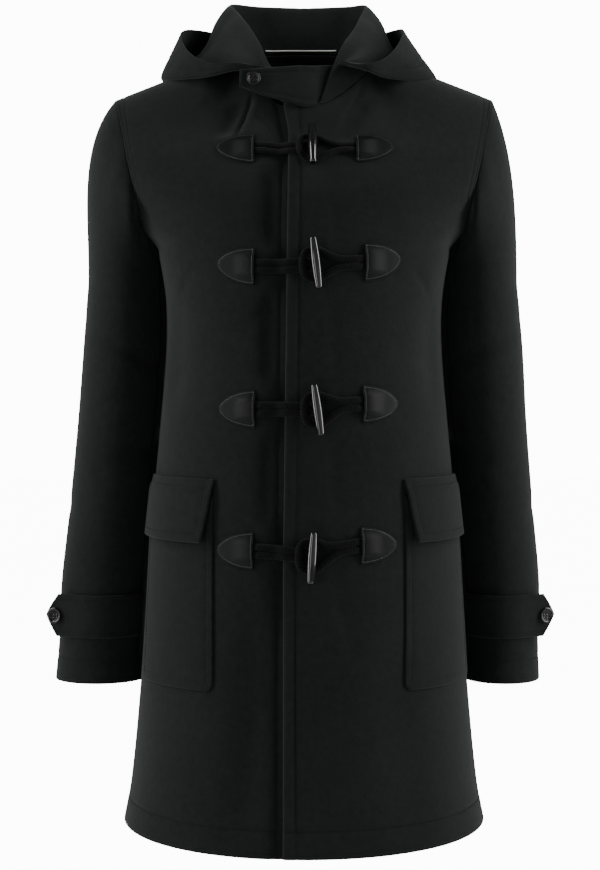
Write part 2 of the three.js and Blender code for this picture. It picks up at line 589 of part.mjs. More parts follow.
// A leather patch, a pointed arch with its straight edge towards the opening, domed over the cords
function patchHeight(along, across) {
  const cords = smooth(14.5, 7.5, Math.abs(across));
  const bulge = 1.1 * smooth(1, 0, along) * smooth(19, 6, Math.abs(across));
  return PATCH.dome * cords * smooth(0.62, 0.12, along) + bulge;
}
function patch(z, edge, way) {
  const lift = upright(z);
  const grid = (off) => spread(0, 0.97, 6).map((t) => {
    const half = PATCH.high * Math.pow(1 - t * t, PATCH.arch);
    return spread(-half, half, 7).map((across) =>
      onFront(edge + way * PATCH.long * t, z + across * lift, PATCH.seat + off + patchHeight(t, across)));
  });
  return wallSolid(grid(LEATHER), grid(0));
}

// A flattened cord along a path of [x, across, height above the cloth]
function cordTube(z, path, steps, thickness) {
  const sides = 6;
  const lift = upright(z);
  const rings = spread(0, 1, steps).map((t) => {
    const [x, across, up] = curveThrough(path, t);
    const [ax, aa] = curveThrough(path, Math.min(t + 0.005, 1));
    const [bx, ba] = curveThrough(path, Math.max(t - 0.005, 0));
    const length = Math.hypot(ax - bx, aa - ba);
    const [sideX, sideA] = [-(aa - ba) / length, (ax - bx) / length];
    return spread(0, 1, sides + 1).slice(0, sides).map((turn) => {
      const angle = turn * 2 * Math.PI;
      const wide = (CORD_WIDE / 2) * Math.cos(angle);
      const high = (thickness(x) / 2) * Math.sin(angle);
      return onFront(x + sideX * wide, z + (across + sideA * wide) * lift, up + high);
    });
  });
  const points = rings.flat();
  const faces = [];
  for (let r = 0; r < steps - 1; r++)
    for (let c = 0; c < sides; c++) {
      const d = (c + 1) % sides;
      const [a, b] = [r * sides + c, r * sides + d];
      faces.push(a, b, b + sides, a, b + sides, a + sides);
    }
  for (let c = 1; c < sides - 1; c++) {
    const last = (steps - 1) * sides;
    faces.push(0, c + 1, c, last, last + c, last + c + 1);
  }
  return facingOut(points, faces);
}

const CORD_REST = 2 * SEAM_GAP + CORD_HIGH / 2; // height of a cord's middle on the cloth
const CORD_SEWN = SEAM_GAP + CORD_FLAT / 2; // and under a patch
const CORD_OVER = CORD_REST + CORD_HIGH + 0.4; // and where it crosses another cord
const CORD_APART = CORD_WIDE / 2 + 0.25;

// The loop on the wearer's right, two strands that run under the toggle and join behind it
function loopCord({ z, left, toggle, up: toggleUp }) {
  const [sewn, free] = [left - 9, left + 6];
  const far = 8;
  const half = [
    [sewn, CORD_APART, CORD_SEWN], [left - 2, CORD_APART, CORD_SEWN + 0.1], [free, CORD_APART, CORD_REST],
    [-25, CORD_APART, CORD_REST], [-9, CORD_APART, CORD_REST], [far - 5, CORD_APART, CORD_REST],
  ];
  const whole = [...half, [far, 0, CORD_REST], ...half.map(([x, a, up]) => [x, -a, up]).reverse()];
  const path = whole.map(([x, a, up]) => [x, a + 0.6 * toggleUp * smooth(left + 8, toggle - 8, x), up]);
  return cordTube(z, path, 21, (x) => mix(CORD_FLAT, CORD_HIGH, smooth(left - 2, free, x)));
}

// The cord that carries the toggle: it leaves the patch as two strands, opens round the toggle and
// closes over the other loop
function toggleCord({ z, right, toggle, rise, up: toggleUp }) {
  const shut = toggle - 13.5; // its far end
  const half = [
    [right + 9, CORD_APART, CORD_SEWN], [right + 2, CORD_APART, CORD_SEWN + 0.1],
    [right - 6, CORD_APART, CORD_REST], [toggle + 27, CORD_APART + 0.4, CORD_REST],
    [toggle + 15, 9, CORD_REST], [toggle + 4, 14.5, CORD_REST], [toggle - 6, 14.6, CORD_REST + 1.2],
    [shut + 1.6, 9.5, CORD_OVER - 0.5],
  ];
  const whole = [...half, [shut, 0, CORD_OVER], ...half.map(([x, a, up]) => [x, -a, up]).reverse()];
  const lifted = (x) => mix(0.8 * toggleUp, rise, smooth(toggle + 2, right - 8, x));
  const path = whole.map(([x, a, up]) => [x, a + lifted(x), up]);
  return cordTube(z, path, 27, (x) => mix(CORD_HIGH, CORD_FLAT, smooth(right - 6, right + 2, x)));
}

// A toggle: a turned barrel that thins towards its cut ends
function toggleBar() {
  const half = TOGGLE.length / 2;
  const side = spread(-1, 1, 5).map((t) => {
    const radius = mix(TOGGLE.middle, TOGGLE.end, Math.pow(Math.abs(t), 1.7));
    return new THREE.Vector2(radius, t * (half - 1));
  });
  const profile = [
    new THREE.Vector2(0, -half), new THREE.Vector2(TOGGLE.end - 1, -half), ...side,
    new THREE.Vector2(TOGGLE.end - 1, half), new THREE.Vector2(0, half),
  ];
  return new THREE.LatheGeometry(profile, 10);
}

// A button with a raised rim
function buttonDisc() {
  const { radius, high } = BUTTON;
  const profile = [
    [0, 0], [radius - 1.6, 0], [radius, high * 0.45], [radius - 0.5, high - 0.3], [radius - 1.2, high],
    [radius - 2.2, high - 0.3], [radius - 3.2, high - 1.3], [0, high - 1.5],
  ];
  return new THREE.LatheGeometry(profile.map((p) => new THREE.Vector2(...p)), 14);
}

// Places a piece whose own +Y axis is made to follow axis, at a point
function placed(mesh, point, axis) {
  mesh.position.copy(point);
  mesh.quaternion.setFromUnitVectors(new THREE.Vector3(0, 1, 0), axis.clone().normalize());
  return mesh;
}

const pocketInner = (side) => (side > 0 ? POCKET_INNER.right : POCKET_INNER.left);

// A patch pocket, and its flap, which leans outwards and stands off at its lower edge
function pocket(side) {
  const inner = pocketInner(side);
  const heights = HEIGHTS.filter((h) => h >= POCKET.bottom && h <= POCKET.top);
  const grid = (off) => heights.map((z, i) => {
    const corner = i === 0 ? 6 : 0;
    return spread(inner + corner, inner + POCKET.wide - corner, 9).map((s) =>
      onBody(-1, side * s, z, SEAM_GAP + off));
  });
  return trimmed(wallSolid(grid(POCKET.thick), grid(-0.6)), [frontPanel(side, SEAM_GAP)]);
}
function flap(side) {
  const inner = pocketInner(side) - 2;
  const over = POCKET.thick + 2 * SEAM_GAP; // how far it rises over the pocket's edge
  const grid = (off) => [0, 0.14, 0.28, 0.52, 0.76, 1].map((t) => {
    const near = inner + FLAP.shift * t;
    return spread(near, near + FLAP.wide, 9).map((s) => {
      const stand = mix(FLAP.flare, 1, clamp((s - near) / FLAP.wide)) * t * t;
      const high = SEAM_GAP + over * smooth(0, 0.26, t) + stand;
      return onBody(-1, side * s, FLAP.top - FLAP.drop * t, off + high);
    });
  });
  return trimmed(wallSolid(grid(FLAP.thick), grid(0)), [frontPanel(side, SEAM_GAP)]);
}

// A cuff strap follows the sleeve from its front seam, then runs on straight to its pointed end
function strapPath(side, z) {
  const down = 1 + (z - CAP_BASE) / (CUFF - CAP_BASE);
  const round = spread(STRAP.from, STRAP.leaves, 10);
  const points = round.map((r) => onSleeve(side, r, down, 3 * SEAM_GAP));
  const last = points[points.length - 1];
  const way = last.clone().sub(onSleeve(side, STRAP.leaves - 1, down, 3 * SEAM_GAP)).normalize();
  return { points, last, way };
}
function strap(side) {
  const heights = spread(STRAP.bottom, STRAP.top, 5);
  const centre = (STRAP.top + STRAP.bottom) / 2;
  const half = (STRAP.top - STRAP.bottom) / 2;
  const grid = (off) => heights.map((z) => {
    const { points, last, way } = strapPath(side, z);
    const end = STRAP.end - STRAP.point * Math.pow(Math.abs(z - centre) / half, 1.2);
    const ends = spread(0, 1, 5).slice(1).map((t) => last.clone().addScaledVector(way, end * t));
    const all = [...points, ...ends];
    return all.map((p, i) => {
      const [a, b] = [all[Math.max(i - 1, 0)], all[Math.min(i + 1, all.length - 1)]];
      const n = b.clone().sub(a).cross(new THREE.Vector3(0, 0, side)).normalize();
      return p.clone().addScaledVector(n, off);
    });
  });
  return wallSolid(grid(STRAP.thick), grid(0));
}
function strapButtonPlace(side) {
  const { last, way } = strapPath(side, (STRAP.top + STRAP.bottom) / 2);
  const n = way.clone().cross(new THREE.Vector3(0, 0, side)).normalize();
  const at = last.clone().addScaledVector(way, STRAP.end - 13);
  return { at: at.addScaledVector(n, STRAP.thick + BUTTON.seat), n };
}

// The throat tab, which crosses the front of the neck
function tabPoint(share, up) {
  const place = share * (TAB_SECTIONS.length - 1);
  const rows = TAB_SECTIONS.map((row, i) => ({ ...row, i }));
  const get = (key) => column(rows, key, place, "i");
  return new THREE.Vector3(get("x"), mix(get("y"), get("topY"), up), mix(get("bottom"), get("top"), up));
}
function tabNormal(share, up) {
  const [s, t] = [Math.min(Math.max(share, 0.01), 0.99), Math.min(Math.max(up, 0.02), 0.98)];
  return outward(tabPoint, s, t, 0.01, 0.02, -1);
}

// Short moves in every direction, a little longer than a seam's gap, that keep the tab off the hood
const WAYS = [-1, 0, 1];
const CLEARANCES = WAYS.flatMap((x) => WAYS.flatMap((y) => WAYS.map((z) => vec([x, y, z]))))
  .map((way) => way.normalize().multiplyScalar(1.08 * SEAM_GAP).toArray());
function throatTab() {
  const grid = (off) => spread(0, 1, 5).map((up) => spread(0, 1, 19).map((share) => {
    const trim = share === 1 && (up === 0 || up === 1) ? 0.975 : share;
    return tabPoint(trim, up).addScaledVector(tabNormal(trim, up), off);
  }));
  const tab = toSolid(trimmed(wallSolid(grid(TAB.thick), grid(0)), bodyPanels(SEAM_GAP)));
  const hood = [1, -1].map((side) => toSolid(hoodHalf(side)));
  const cut = (solid, way) => hood.reduce((left, half) => left.subtract(half.translate(way)), solid);
  const clear = CLEARANCES.reduce(cut, tab);
  const parts = clear.decompose().sort((a, b) => b.volume() - a.volume());
  return toGeometry(parts[0]);
}

// The thin hanger loop inside the back of the neck
const HANGER = [
  [-43, 51.2, 14.6], [-34, 55.7, 15.2], [-12, 60.2, 16.2], [12, 60.2, 16.2], [28, 57.8, 15.8], [36, 55, 15.5],
];
function hangerLoop() {
  const path = new THREE.CatmullRomCurve3(HANGER.map(vec));
  const section = new THREE.Shape();
  section.absarc(0, 0, 0.8, 0, 2 * Math.PI, false);
  const options = { extrudePath: path, steps: 12, bevelEnabled: false, curveSegments: 4 };
  return new THREE.ExtrudeGeometry(section, options);
}

// Finishes
const finish = (color, roughness, metalness = 0) =>
  new THREE.MeshStandardMaterial({ color, roughness, metalness });
const wool = finish(0x1d1f1e, 0.95);
const leather = finish(0x26282a, 0.45);
const cordWool = finish(0x181a19, 0.9);
const horn = finish(0x101010, 0.2);
const resin = finish(0x151515, 0.25);
const tape = finish(0xc9c6bd, 0.5);

const coat = new THREE.Group();
coat.name = "duffle_coat";
function add(name, geometry, material) {
  const mesh = new THREE.Mesh(geometry, material);
  mesh.name = name;
  coat.add(mesh);
  return mesh;
}

add("front_left", frontPanel(1), wool);
add("front_right", frontPanel(-1), wool);
add("back", backPanel(), wool);
for (const [word, side] of [["left", 1], ["right", -1]]) {
  add(`sleeve_upper_${word}`, sleevePiece(side, FRONT_SEAM, 360 + BACK_SEAM, 13), wool);
  add(`sleeve_under_${word}`, sleevePiece(side, BACK_SEAM, FRONT_SEAM, 5), wool);
  add(`hood_${word}`, hoodHalf(side), wool);
  add(`pocket_${word}`, pocket(side), wool);
  add(`pocket_flap_${word}`, flap(side), wool);
  add(`cuff_strap_${word}`, strap(side), wool);
  const { at, n } = strapButtonPlace(side);
  placed(add(`cuff_button_${word}`, buttonDisc(), resin), at, n);
}
add("throat_tab", throatTab(), wool);
add("hanger_loop", hangerLoop(), tape);

const TAB_BUTTON = { share: 0.861, up: 0.57 };
const tabNormalAtButton = tabNormal(TAB_BUTTON.share, TAB_BUTTON.up);
const tabButtonAt = tabPoint(TAB_BUTTON.share, TAB_BUTTON.up)
  .addScaledVector(tabNormalAtButton, TAB.thick + SEAM_GAP + 0.3);
placed(add("throat_button", buttonDisc(), resin), tabButtonAt, tabNormalAtButton).scale.setScalar(0.85);

FASTENINGS.forEach((fastening, i) => {
  const row = i + 1;
  add(`patch_right_${row}`, patch(fastening.z, fastening.left, -1), leather);
  add(`patch_left_${row}`, patch(fastening.z + fastening.rise, fastening.right, 1), leather);
  add(`loop_cord_${row}`, loopCord(fastening), cordWool);
  add(`toggle_cord_${row}`, toggleCord(fastening), cordWool);
  const rise = CORD_REST + CORD_HIGH / 2 + TOGGLE.middle + 0.5;
  const middle = fastening.z + fastening.up;
  const at = onFront(fastening.toggle, middle, rise);
  const ahead = onFront(fastening.toggle, middle + 10, rise).sub(at).normalize();
  const tilt = radians(fastening.tilt);
  const axis = ahead.multiplyScalar(Math.cos(tilt)).add(new THREE.Vector3(-Math.sin(tilt), 0, 0));
  placed(add(`toggle_${row}`, toggleBar(), horn), at, axis);
});

export default coat;
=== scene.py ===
"""A black wool duffle coat, filled out as worn, on a plain pale ground under soft studio light."""

import math

import bmesh
import bpy
import numpy as np
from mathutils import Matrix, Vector


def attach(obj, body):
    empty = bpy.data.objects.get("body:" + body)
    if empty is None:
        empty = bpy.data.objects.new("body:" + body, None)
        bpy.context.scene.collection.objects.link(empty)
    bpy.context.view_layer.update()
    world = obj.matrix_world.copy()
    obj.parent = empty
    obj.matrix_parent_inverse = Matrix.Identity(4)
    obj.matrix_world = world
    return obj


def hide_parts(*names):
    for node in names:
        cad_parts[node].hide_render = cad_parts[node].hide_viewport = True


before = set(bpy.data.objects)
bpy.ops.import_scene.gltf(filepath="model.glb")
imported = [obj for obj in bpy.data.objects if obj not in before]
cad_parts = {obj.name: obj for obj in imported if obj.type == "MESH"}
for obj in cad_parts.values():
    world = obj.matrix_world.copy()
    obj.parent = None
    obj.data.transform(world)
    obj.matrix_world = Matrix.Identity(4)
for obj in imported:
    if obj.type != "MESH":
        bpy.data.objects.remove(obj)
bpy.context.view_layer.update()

MM = 0.001

# Cloth and trim, in millimetres. Side 1 is the wearer's left and side -1 the wearer's right.
WORD = {-1: "right", 1: "left"}
CLOTH = 2.4
SEAM_GAP = 0.3
LEATHER = 1.5
CORD_WIDE = 7.4
CORD_HIGH = 4.4
CORD_FLAT = 2.6
LAP_TOP = 16
LAP_HEM = 22
UNDERLAP = 34
LAP_DROP = CLOTH + 1.2

HEM = -840
UNDERARM = -232
YOKE = -98
RISE = 90
TOP = YOKE + RISE
NECK_FRONT = (0, -72, -66)
NECK_SIDE = (78, -4, 0)
NECK_BACK = (0, 62, 12)
SHOULDER_TIP = (205, 1, -48)
NECK_SHARE = 0.45


def table(columns, rows):
    names = columns.split()
    return [dict(zip(names, row)) for row in rows]


# Sections of the front and of the back, from the hem up
SECTION = "z depth edge_x edge_y edge_z turn full"
FRONT_SECTIONS = table(SECTION, [
    (-840, 168, 199, 3, -836, 0, 0.6),
    (-795, 162, 191, 3, -793, 0, 0.6),
    (-700, 154, 181.5, 3, -700, 0, 0.6),
    (-600, 148, 174, 3, -600, 0, 0.6),
    (-500, 143, 167, 3, -500, 0, 0.61),
    (-400, 139, 157.5, 3, -400, 0, 0.62),
    (-320, 136, 151, 3, -320, 0, 0.63),
    (-270, 134, 150.3, 3, -266, -3, 0.64),
    (-232, 131, 154, 3, -216, -12, 0.64),
    (-214, 129.5, 168.5, -34, -198, 20, 0.62),
    (-190, 126.5, 177, -46, -174, 36, 0.58),
    (-157, 120.5, 181, -62, -151, 44, 0.54),
    (-124, 104.5, 189, -57, -117, 48, 0.5),
    (-98, 87, 195.5, -43, -87, 50, 0.48),
])
BACK_SECTIONS = table(SECTION, [
    (-836, 160, 199, 3, -836, 0, 0.6),
    (-793, 155, 191, 3, -793, 0, 0.6),
    (-700, 146, 181.5, 3, -700, 0, 0.6),
    (-600, 137, 174, 3, -600, 0, 0.6),
    (-500, 129, 167, 3, -500, 0, 0.61),
    (-400, 121, 157.5, 3, -400, 0, 0.62),
    (-320, 117, 151, 3, -320, 0, 0.63),
    (-270, 118, 150.3, 3, -266, 0, 0.64),
    (-232, 120, 154, 3, -216, 2, 0.64),
    (-214, 121.5, 164, 36, -214, 20, 0.62),
    (-190, 122, 177, 60, -186, 36, 0.58),
    (-157, 121, 186, 68, -150, 44, 0.54),
    (-124, 116, 193, 61, -113, 48, 0.5),
    (-98, 109, 199, 44, -83, 50, 0.48),
])

# Large folds. s is the distance along the cloth from the middle, positive to the wearer's left.
FOLD = "s lean wide deep top bottom"
FRONT_FOLDS = table(FOLD, [
    (-37, 2, 12, 5.5, -125, -226),
    (-36, -2, 11, 4.5, -248, -368),
    (-36, -4, 11, 3.5, -395, -512),
    (-40, -22, 26, 6.5, -540, -850),
    (-62, -26, 11, 4, -52, -102),
    (66, -26, 13, 5, -50, -112),
    (92, 26, 30, 3, -600, -860),
    (-150, -14, 24, 2.5, -250, -400),
    (150, 14, 24, 2.5, -250, -400),
])
BACK_FOLDS = table(FOLD, [
    (-18, -34, 30, 5, -360, -860),
    (88, 34, 34, 6, -420, -860),
    (-128, -26, 26, 4, -470, -860),
    (-120, 30, 18, 3.5, -150, -300),
    (124, -34, 18, 3.5, -140, -300),
])

# Smaller creases, each a line from (s, z) to (s, z). A negative depth stands up.
CREASE = "s z to_s to_z wide deep"
FRONT_CREASES = table(CREASE, [
    (-50, -50, -74, -99, 2, 4.5),
    (-44, -54, -66, -98, 5, -1.0),
    (-48, -72, -30, -103, 4, 1.2),
    (-4, -73, -9, -104, 4, 1.1),
    (58, -36, 34, -92, 7, 1.6),
    (-30, -262, -60, -300, 7, 0.9),
    (30, -560, 52, -640, 12, 1.0),
    (-120, -236, -150, -262, 7, 1.4),
    (118, -236, 150, -264, 7, 1.4),
    (-100, -330, -190, -360, 12, 0.9),
    (104, -322, 190, -350, 12, 0.9),
    (22, -150, 34, -215, 8, 0.7),
    (24, -270, 34, -360, 9, 0.8),
    (26, -420, 34, -500, 9, 0.7),
])
BACK_CREASES = table(CREASE, [
    (-128, -236, -160, -262, 7, 1.4),
    (126, -236, 158, -266, 7, 1.4),
    (-110, -320, -40, -338, 12, 1.3),
    (106, -330, 30, -352, 12, 1.2),
    (-90, -360, -10, -372, 11, 0.9),
    (-60, -210, -120, -170, 9, 1.0),
    (64, -214, 122, -172, 9, 1.0),
])

SLEEVE_SECTIONS = table("z x y wide deep right left", [
    (-690, 223, 44, 43, 46, 14.5, 0),
    (-640, 222.5, 42, 42.5, 47, 10.5, -1),
    (-580, 219, 38, 44, 50, 9.5, 1.5),
    (-500, 211, 32, 44, 54, 7.5, 1.5),
    (-400, 202, 27, 43.7, 58, 6, 2),
    (-320, 196.5, 24, 44.8, 61, 3.5, 1.5),
    (-244, 195, 22, 43.6, 63, 0, -3),
])
CAP_BASE = -236
CUFF = -690
TUCK = 1.6
SLEEVE_DEGREE = 0.8  # millimetres round the sleeve for each degree
SLEEVE_RATE = 892  # millimetres down the lower sleeve for a whole step of its B
CAP_LEAVE = {-1: (0.6, -0.65), 1: (0.4, -0.9)}  # by side, a cap's way out and down at its top
FRONT_SEAM = 30
BACK_SEAM = -60
SLEEVE_FOLDS = table("z lean around wide deep reach", [
    (-330, 26, 60, 11, 3, 70),
    (-430, -20, 40, 12, 2.6, 60),
    (-470, 24, 250, 12, 3, 75),
    (-290, -20, 270, 12, 3, 60),
])
SLEEVE_CREASES = table("z lean around wide deep reach", [
    (-262, 12, 30, 6, 1.4, 34),
    (-374, -14, 84, 8, 1.0, 40),
    (-505, 12, 64, 8, 0.9, 44),
    (-396, 16, 262, 7, 1.3, 40),
    (-452, -10, 300, 7, 1.1, 34),
    (-560, 10, 30, 8, 0.8, 40),
])

HOOD_KEYS = "seam stand roll fall inner bottom belly rim".split()
HOOD_COLUMNS = "at stand roll fall inner bottom belly rim"
HOOD_RIGHT = table(HOOD_COLUMNS, [
    (0, (0, -71, -53), (38, -66, -31), (41, -63, -27), (43, -61, -25),
     (44, -60, -24), (45, -60, -24), (46, -60, -21)),
    (0.17, (42, -54, -30), (46, -42, 1), (56, -49, -8), (63, -56, -16),
     (70, -63, -24), (75, -69, -26), (70, -70, -19)),
    (0.33, (60, -33, -2), (59, -15, 27), (74, -24, 12), (84, -36, -4),
     (95, -48, -24), (106, -58, -31), (100, -61, -18)),
    (0.5, (73, -1, 22), (71, 11, 46), (86, 4, 31), (99, -6, 8),
     (118, -18, -13), (146, -24, -29), (125, -36, 0)),
    (0.66, (75, 35, 34), (80, 42, 63), (96, 42, 45), (108, 40, 14),
     (126, 40, -10), (155, 16, -24), (133, 4, 27)),
    (0.8, (50, 64, 42), (52, 73, 67), (68, 92, 47), (88, 108, -14),
     (106, 122, -74), (138, 102, -36), (112, 58, 38)),
    (0.9, (26, 71, 45), (26, 84, 68), (36, 101, 43), (50, 121, -42),
     (60, 136, -150), (86, 156, -86), (62, 112, 36)),
    (1, (0, 73, 45), (0, 87, 68), (0, 105, 41), (0, 126, -50),
     (0, 144, -186), (0, 170, -96), (0, 140, 34)),
])
HOOD_LEFT = table(HOOD_COLUMNS, [
    (0, (20.5, -66, -50), (27, -61, -32), (31, -58, -24), (34, -57, -20),
     (36, -56, -18), (37, -55, -16), (38, -54, -14)),
    (0.17, (43, -54, -28), (41, -42, 2), (50, -49, -8), (56, -56, -14),
     (61, -62, -22), (66, -68, -26), (62, -69, -20)),
    (0.33, (61, -33, -2), (54, -15, 25), (68, -24, 12), (76, -36, -4),
     (82, -46, -22), (90, -56, -32), (83, -60, -14)),
    (0.5, (73, -1, 22), (62, 11, 44), (78, 4, 30), (90, -6, 8),
     (106, -16, -13), (137, -22, -30), (99, -36, 4)),
    (0.66, (75, 35, 34), (68, 42, 62), (84, 42, 45), (96, 40, 14),
     (112, 40, -12), (142, 16, -24), (108, 6, 29)),
    (0.8, (50, 64, 42), (50, 73, 67), (66, 92, 47), (86, 108, -14),
     (104, 122, -74), (128, 102, -36), (98, 58, 38)),
    (0.9, (26, 71, 45), (26, 84, 68), (36, 101, 43), (50, 121, -42),
     (60, 136, -150), (84, 156, -86), (60, 112, 36)),
]) + HOOD_RIGHT[-1:]
HOOD_START = {1: 16, -1: -15}

FASTENINGS = table("z toggle tilt up left right rise", [
    (-112.7, 8.5, 1, -1, -52, 53.8, 0.6),
    (-237, 11.5, 6.6, 3.2, -51.2, 62.3, 3.6),
    (-382, 13, 8, -0.9, -50.3, 60.5, 5.1),
    (-527.4, 7.6, -4, -6.2, -52.2, 58.2, 5.2),
])
TOGGLE_LENGTH = 52.6
TOGGLE_MIDDLE = 5.2
TOGGLE_END = 3.7
PATCH_LONG = 40.6
PATCH_HIGH = 19.2
PATCH_ARCH = 0.6
PATCH_DOME = 2.9
PATCH_TIP = 0.995  # the share of its length where a patch ends, just short of a knife edge

POCKET_TOP = -474
POCKET_BOTTOM = -674
POCKET_WIDE = 122
POCKET_THICK = 2.4
POCKET_INNER = {-1: 97, 1: 109}
FLAP_TOP = -455
FLAP_DROP = 66
FLAP_WIDE = 122
FLAP_SHIFT = 11
FLAP_FLARE = 7
FLAP_THICK = 3

STRAP_TOP = -590
STRAP_BOTTOM = -638
STRAP_THICK = 3
STRAP_FROM = 31
STRAP_LEAVES = 117
STRAP_END = 42
STRAP_POINT = 15
STRAP_LONG = 116.0
STRAP_BUTTON = 13  # from the strap's point to its button's middle
BUTTON_RADIUS = 8.7
BUTTON_HIGH = 3.2

TAB_SECTIONS = table("x y bottom top_y top", [
    (30, -58, -60, -44, -18),
    (22, -63, -62, -50, -19),
    (14, -68, -64.5, -55, -20),
    (6, -72, -65.5, -60, -21),
    (-4, -75, -64.5, -64, -21.5),
    (-16, -76, -61.5, -66.5, -22.5),
    (-30, -74.5, -58, -67, -23.5),
    (-44, -71.5, -53.5, -67.5, -24.5),
    (-56, -70, -48.5, -68.5, -25.5),
    (-68, -69.5, -44, -69.5, -26),
])
TAB_THICK = 2.6
TAB_BUTTON = (0.861, 0.57)

# How far the rows of stitches lie from the edges of their pieces
HEM_STITCH = 28
EDGE_STITCH = 12.5
ARMHOLE_STITCHES = (3, 8.5)
SEAM_STITCH = 4
CUFF_STITCH = 26
HOOD_STITCH = 24
POCKET_STITCH = 8.5
STRAP_STITCH = 6
TAB_STITCH = 5
PATCH_STITCH = 2.1
STITCH_STANDS = 0.25  # how far the middle of a stitch's thread is off the cloth

SIDE_LAP = 0.4  # how far the shown panels run past a side seam, which closes it to light
HOOD_DRAW = 0.6  # how far each half of the hood is drawn over the middle, which closes its seam
EDGE_TROUGH = 4.2  # how far the lower front sinks beside the upper front's edge
EDGE_STANDS = 1.1  # how far the upper front's edge stands up outside its row of stitches

CORD_REST = 2 * SEAM_GAP + CORD_HIGH / 2
CORD_SEWN = SEAM_GAP + CORD_FLAT / 2
CORD_OVER = CORD_REST + CORD_HIGH + 0.4
CORD_APART = CORD_WIDE / 2 + 0.25


def mix(a, b, t):
    return a + (b - a) * t


def smooth(low, high, x):
    t = np.clip((np.asarray(x, float) - low) / (high - low), 0, 1)
    return t * t * (3 - 2 * t)


def hermite(a, slope_a, b, slope_b, t):
    t2 = t * t
    t3 = t2 * t
    from_a = (2 * t3 - 3 * t2 + 1) * a + (t3 - 2 * t2 + t) * slope_a
    return from_a + (3 * t2 - 2 * t3) * b + (t3 - t2) * slope_b


def unit(v):
    return v / np.maximum(np.linalg.norm(v, axis=-1, keepdims=True), 1e-12)


def column(rows, key, at, by="z"):
    """A table's column at any place between its rows, as a smooth curve through them."""
    last = len(rows) - 1
    up = 1 if rows[last][by] > rows[0][by] else -1
    i = 0
    while i < last - 1 and up * (at - rows[i + 1][by]) > 0:
        i += 1
    step = rows[i + 1][by] - rows[i][by]

    def value(j):
        return np.asarray(rows[j][key], float)

    def slope(j):
        before, after = max(j - 1, 0), min(j + 1, last)
        return (value(after) - value(before)) / (rows[after][by] - rows[before][by]) * step

    t = min(1, max(0, (at - rows[i][by]) / step))
    return hermite(value(i), slope(i), value(i + 1), slope(i + 1), t)


def bezier(points, t):
    p = [np.asarray(q, float) for q in points]
    t = np.asarray(t, float)[..., None]
    s = 1 - t
    return s**3 * p[0] + 3 * s * s * t * p[1] + 3 * s * t * t * p[2] + t**3 * p[3]


def by_length(points, shares):
    """Points at shares of a line's length."""
    lengths = np.concatenate([[0], np.cumsum(np.linalg.norm(np.diff(points, axis=0), axis=1))])
    at = np.asarray(shares, float) * lengths[-1]
    return np.stack([np.interp(at, lengths, points[:, k]) for k in range(3)], -1), lengths[-1]


SHARES = np.linspace(0, 1, 161)
ROWS = np.linspace(HEM, TOP, 281)


def body_row(face, z):
    rows = FRONT_SECTIONS if face < 0 else BACK_SECTIONS
    part = [r for r in rows if (r["z"] <= UNDERARM if z < UNDERARM else r["z"] >= UNDERARM)]
    depth = face * float(column(rows, "depth", z))
    edge = [float(column(part, key, z)) for key in ("edge_x", "edge_y", "edge_z")]
    turn = math.radians(float(column(part, "turn", z)))
    full = float(column(part, "full", z))
    handle = full * abs(depth - edge[1]) * mix(1, 0.8, math.sin(turn))
    corner = (edge[0] - handle * math.sin(turn), edge[1] + face * handle * math.cos(turn), edge[2])
    points = bezier([(0, depth, z), (full * edge[0], depth, z), corner, edge], np.linspace(0, 1, 81))
    return by_length(points, SHARES)


NECKLINES = {
    -1: bezier([NECK_FRONT, (32, -72, -66), (75, -44, -22), NECK_SIDE], np.linspace(0, 1, 81)),
    1: bezier([NECK_BACK, (44, 62, 12), (82, 40, 6), NECK_SIDE], np.linspace(0, 1, 81)),
}
SEAM_LINE = np.subtract(SHOULDER_TIP, NECK_SIDE)


def top_edge(face, share):
    neck, _ = by_length(NECKLINES[face], np.clip(share / NECK_SHARE, 0, 1))
    out = np.clip((share - NECK_SHARE) / (1 - NECK_SHARE), 0, 1)[..., None]
    shoulder = np.asarray(NECK_SIDE, float) + SEAM_LINE * out
    return np.where((share < NECK_SHARE)[..., None], neck, shoulder)


def build_body(face):
    """The panel's form on an even net: points, outward directions and the length of each row."""
    low, yoke_length = body_row(face, YOKE)
    before, _ = body_row(face, YOKE - 8)
    rising = unit(low - before)
    high = top_edge(face, SHARES)
    far = np.linalg.norm(high - low, axis=-1, keepdims=True)
    neck = smooth(NECK_SHARE + 0.12, NECK_SHARE - 0.1, SHARES)[:, None]
    arriving = unit(np.concatenate([neck * 0, -face * mix(1, 0.62, neck), mix(0.02, 0.85, neck)], 1))
    points, lengths = [], []
    for h in ROWS:
        if h <= YOKE:
            row, length = body_row(face, h)
        else:
            t = (h - YOKE) / RISE
            row = hermite(low, rising * far * 1.05, high, arriving * far * mix(1.15, 0.8, neck), t)
            length = yoke_length
        points.append(row)
        lengths.append(length)
    points = np.array(points)
    along_u = np.gradient(points, axis=1)
    along_h = np.gradient(points, axis=0)
    n = unit(np.cross(along_u, along_h) * -face)
    n[:, 0, 0] = 0
    seam = unit(np.array([-SEAM_LINE[2], 0, SEAM_LINE[0]]))
    share = (smooth(TOP - 12, TOP - 2, ROWS)[:, None] * (SHARES >= NECK_SHARE)[None, :])[..., None]
    return points, unit(n * (1 - share) + seam * share), np.array(lengths)


BODY = {-1: build_body(-1), 1: build_body(1)}


def row_length(face, h):
    return np.interp(np.minimum(h, YOKE), ROWS, BODY[face][2])


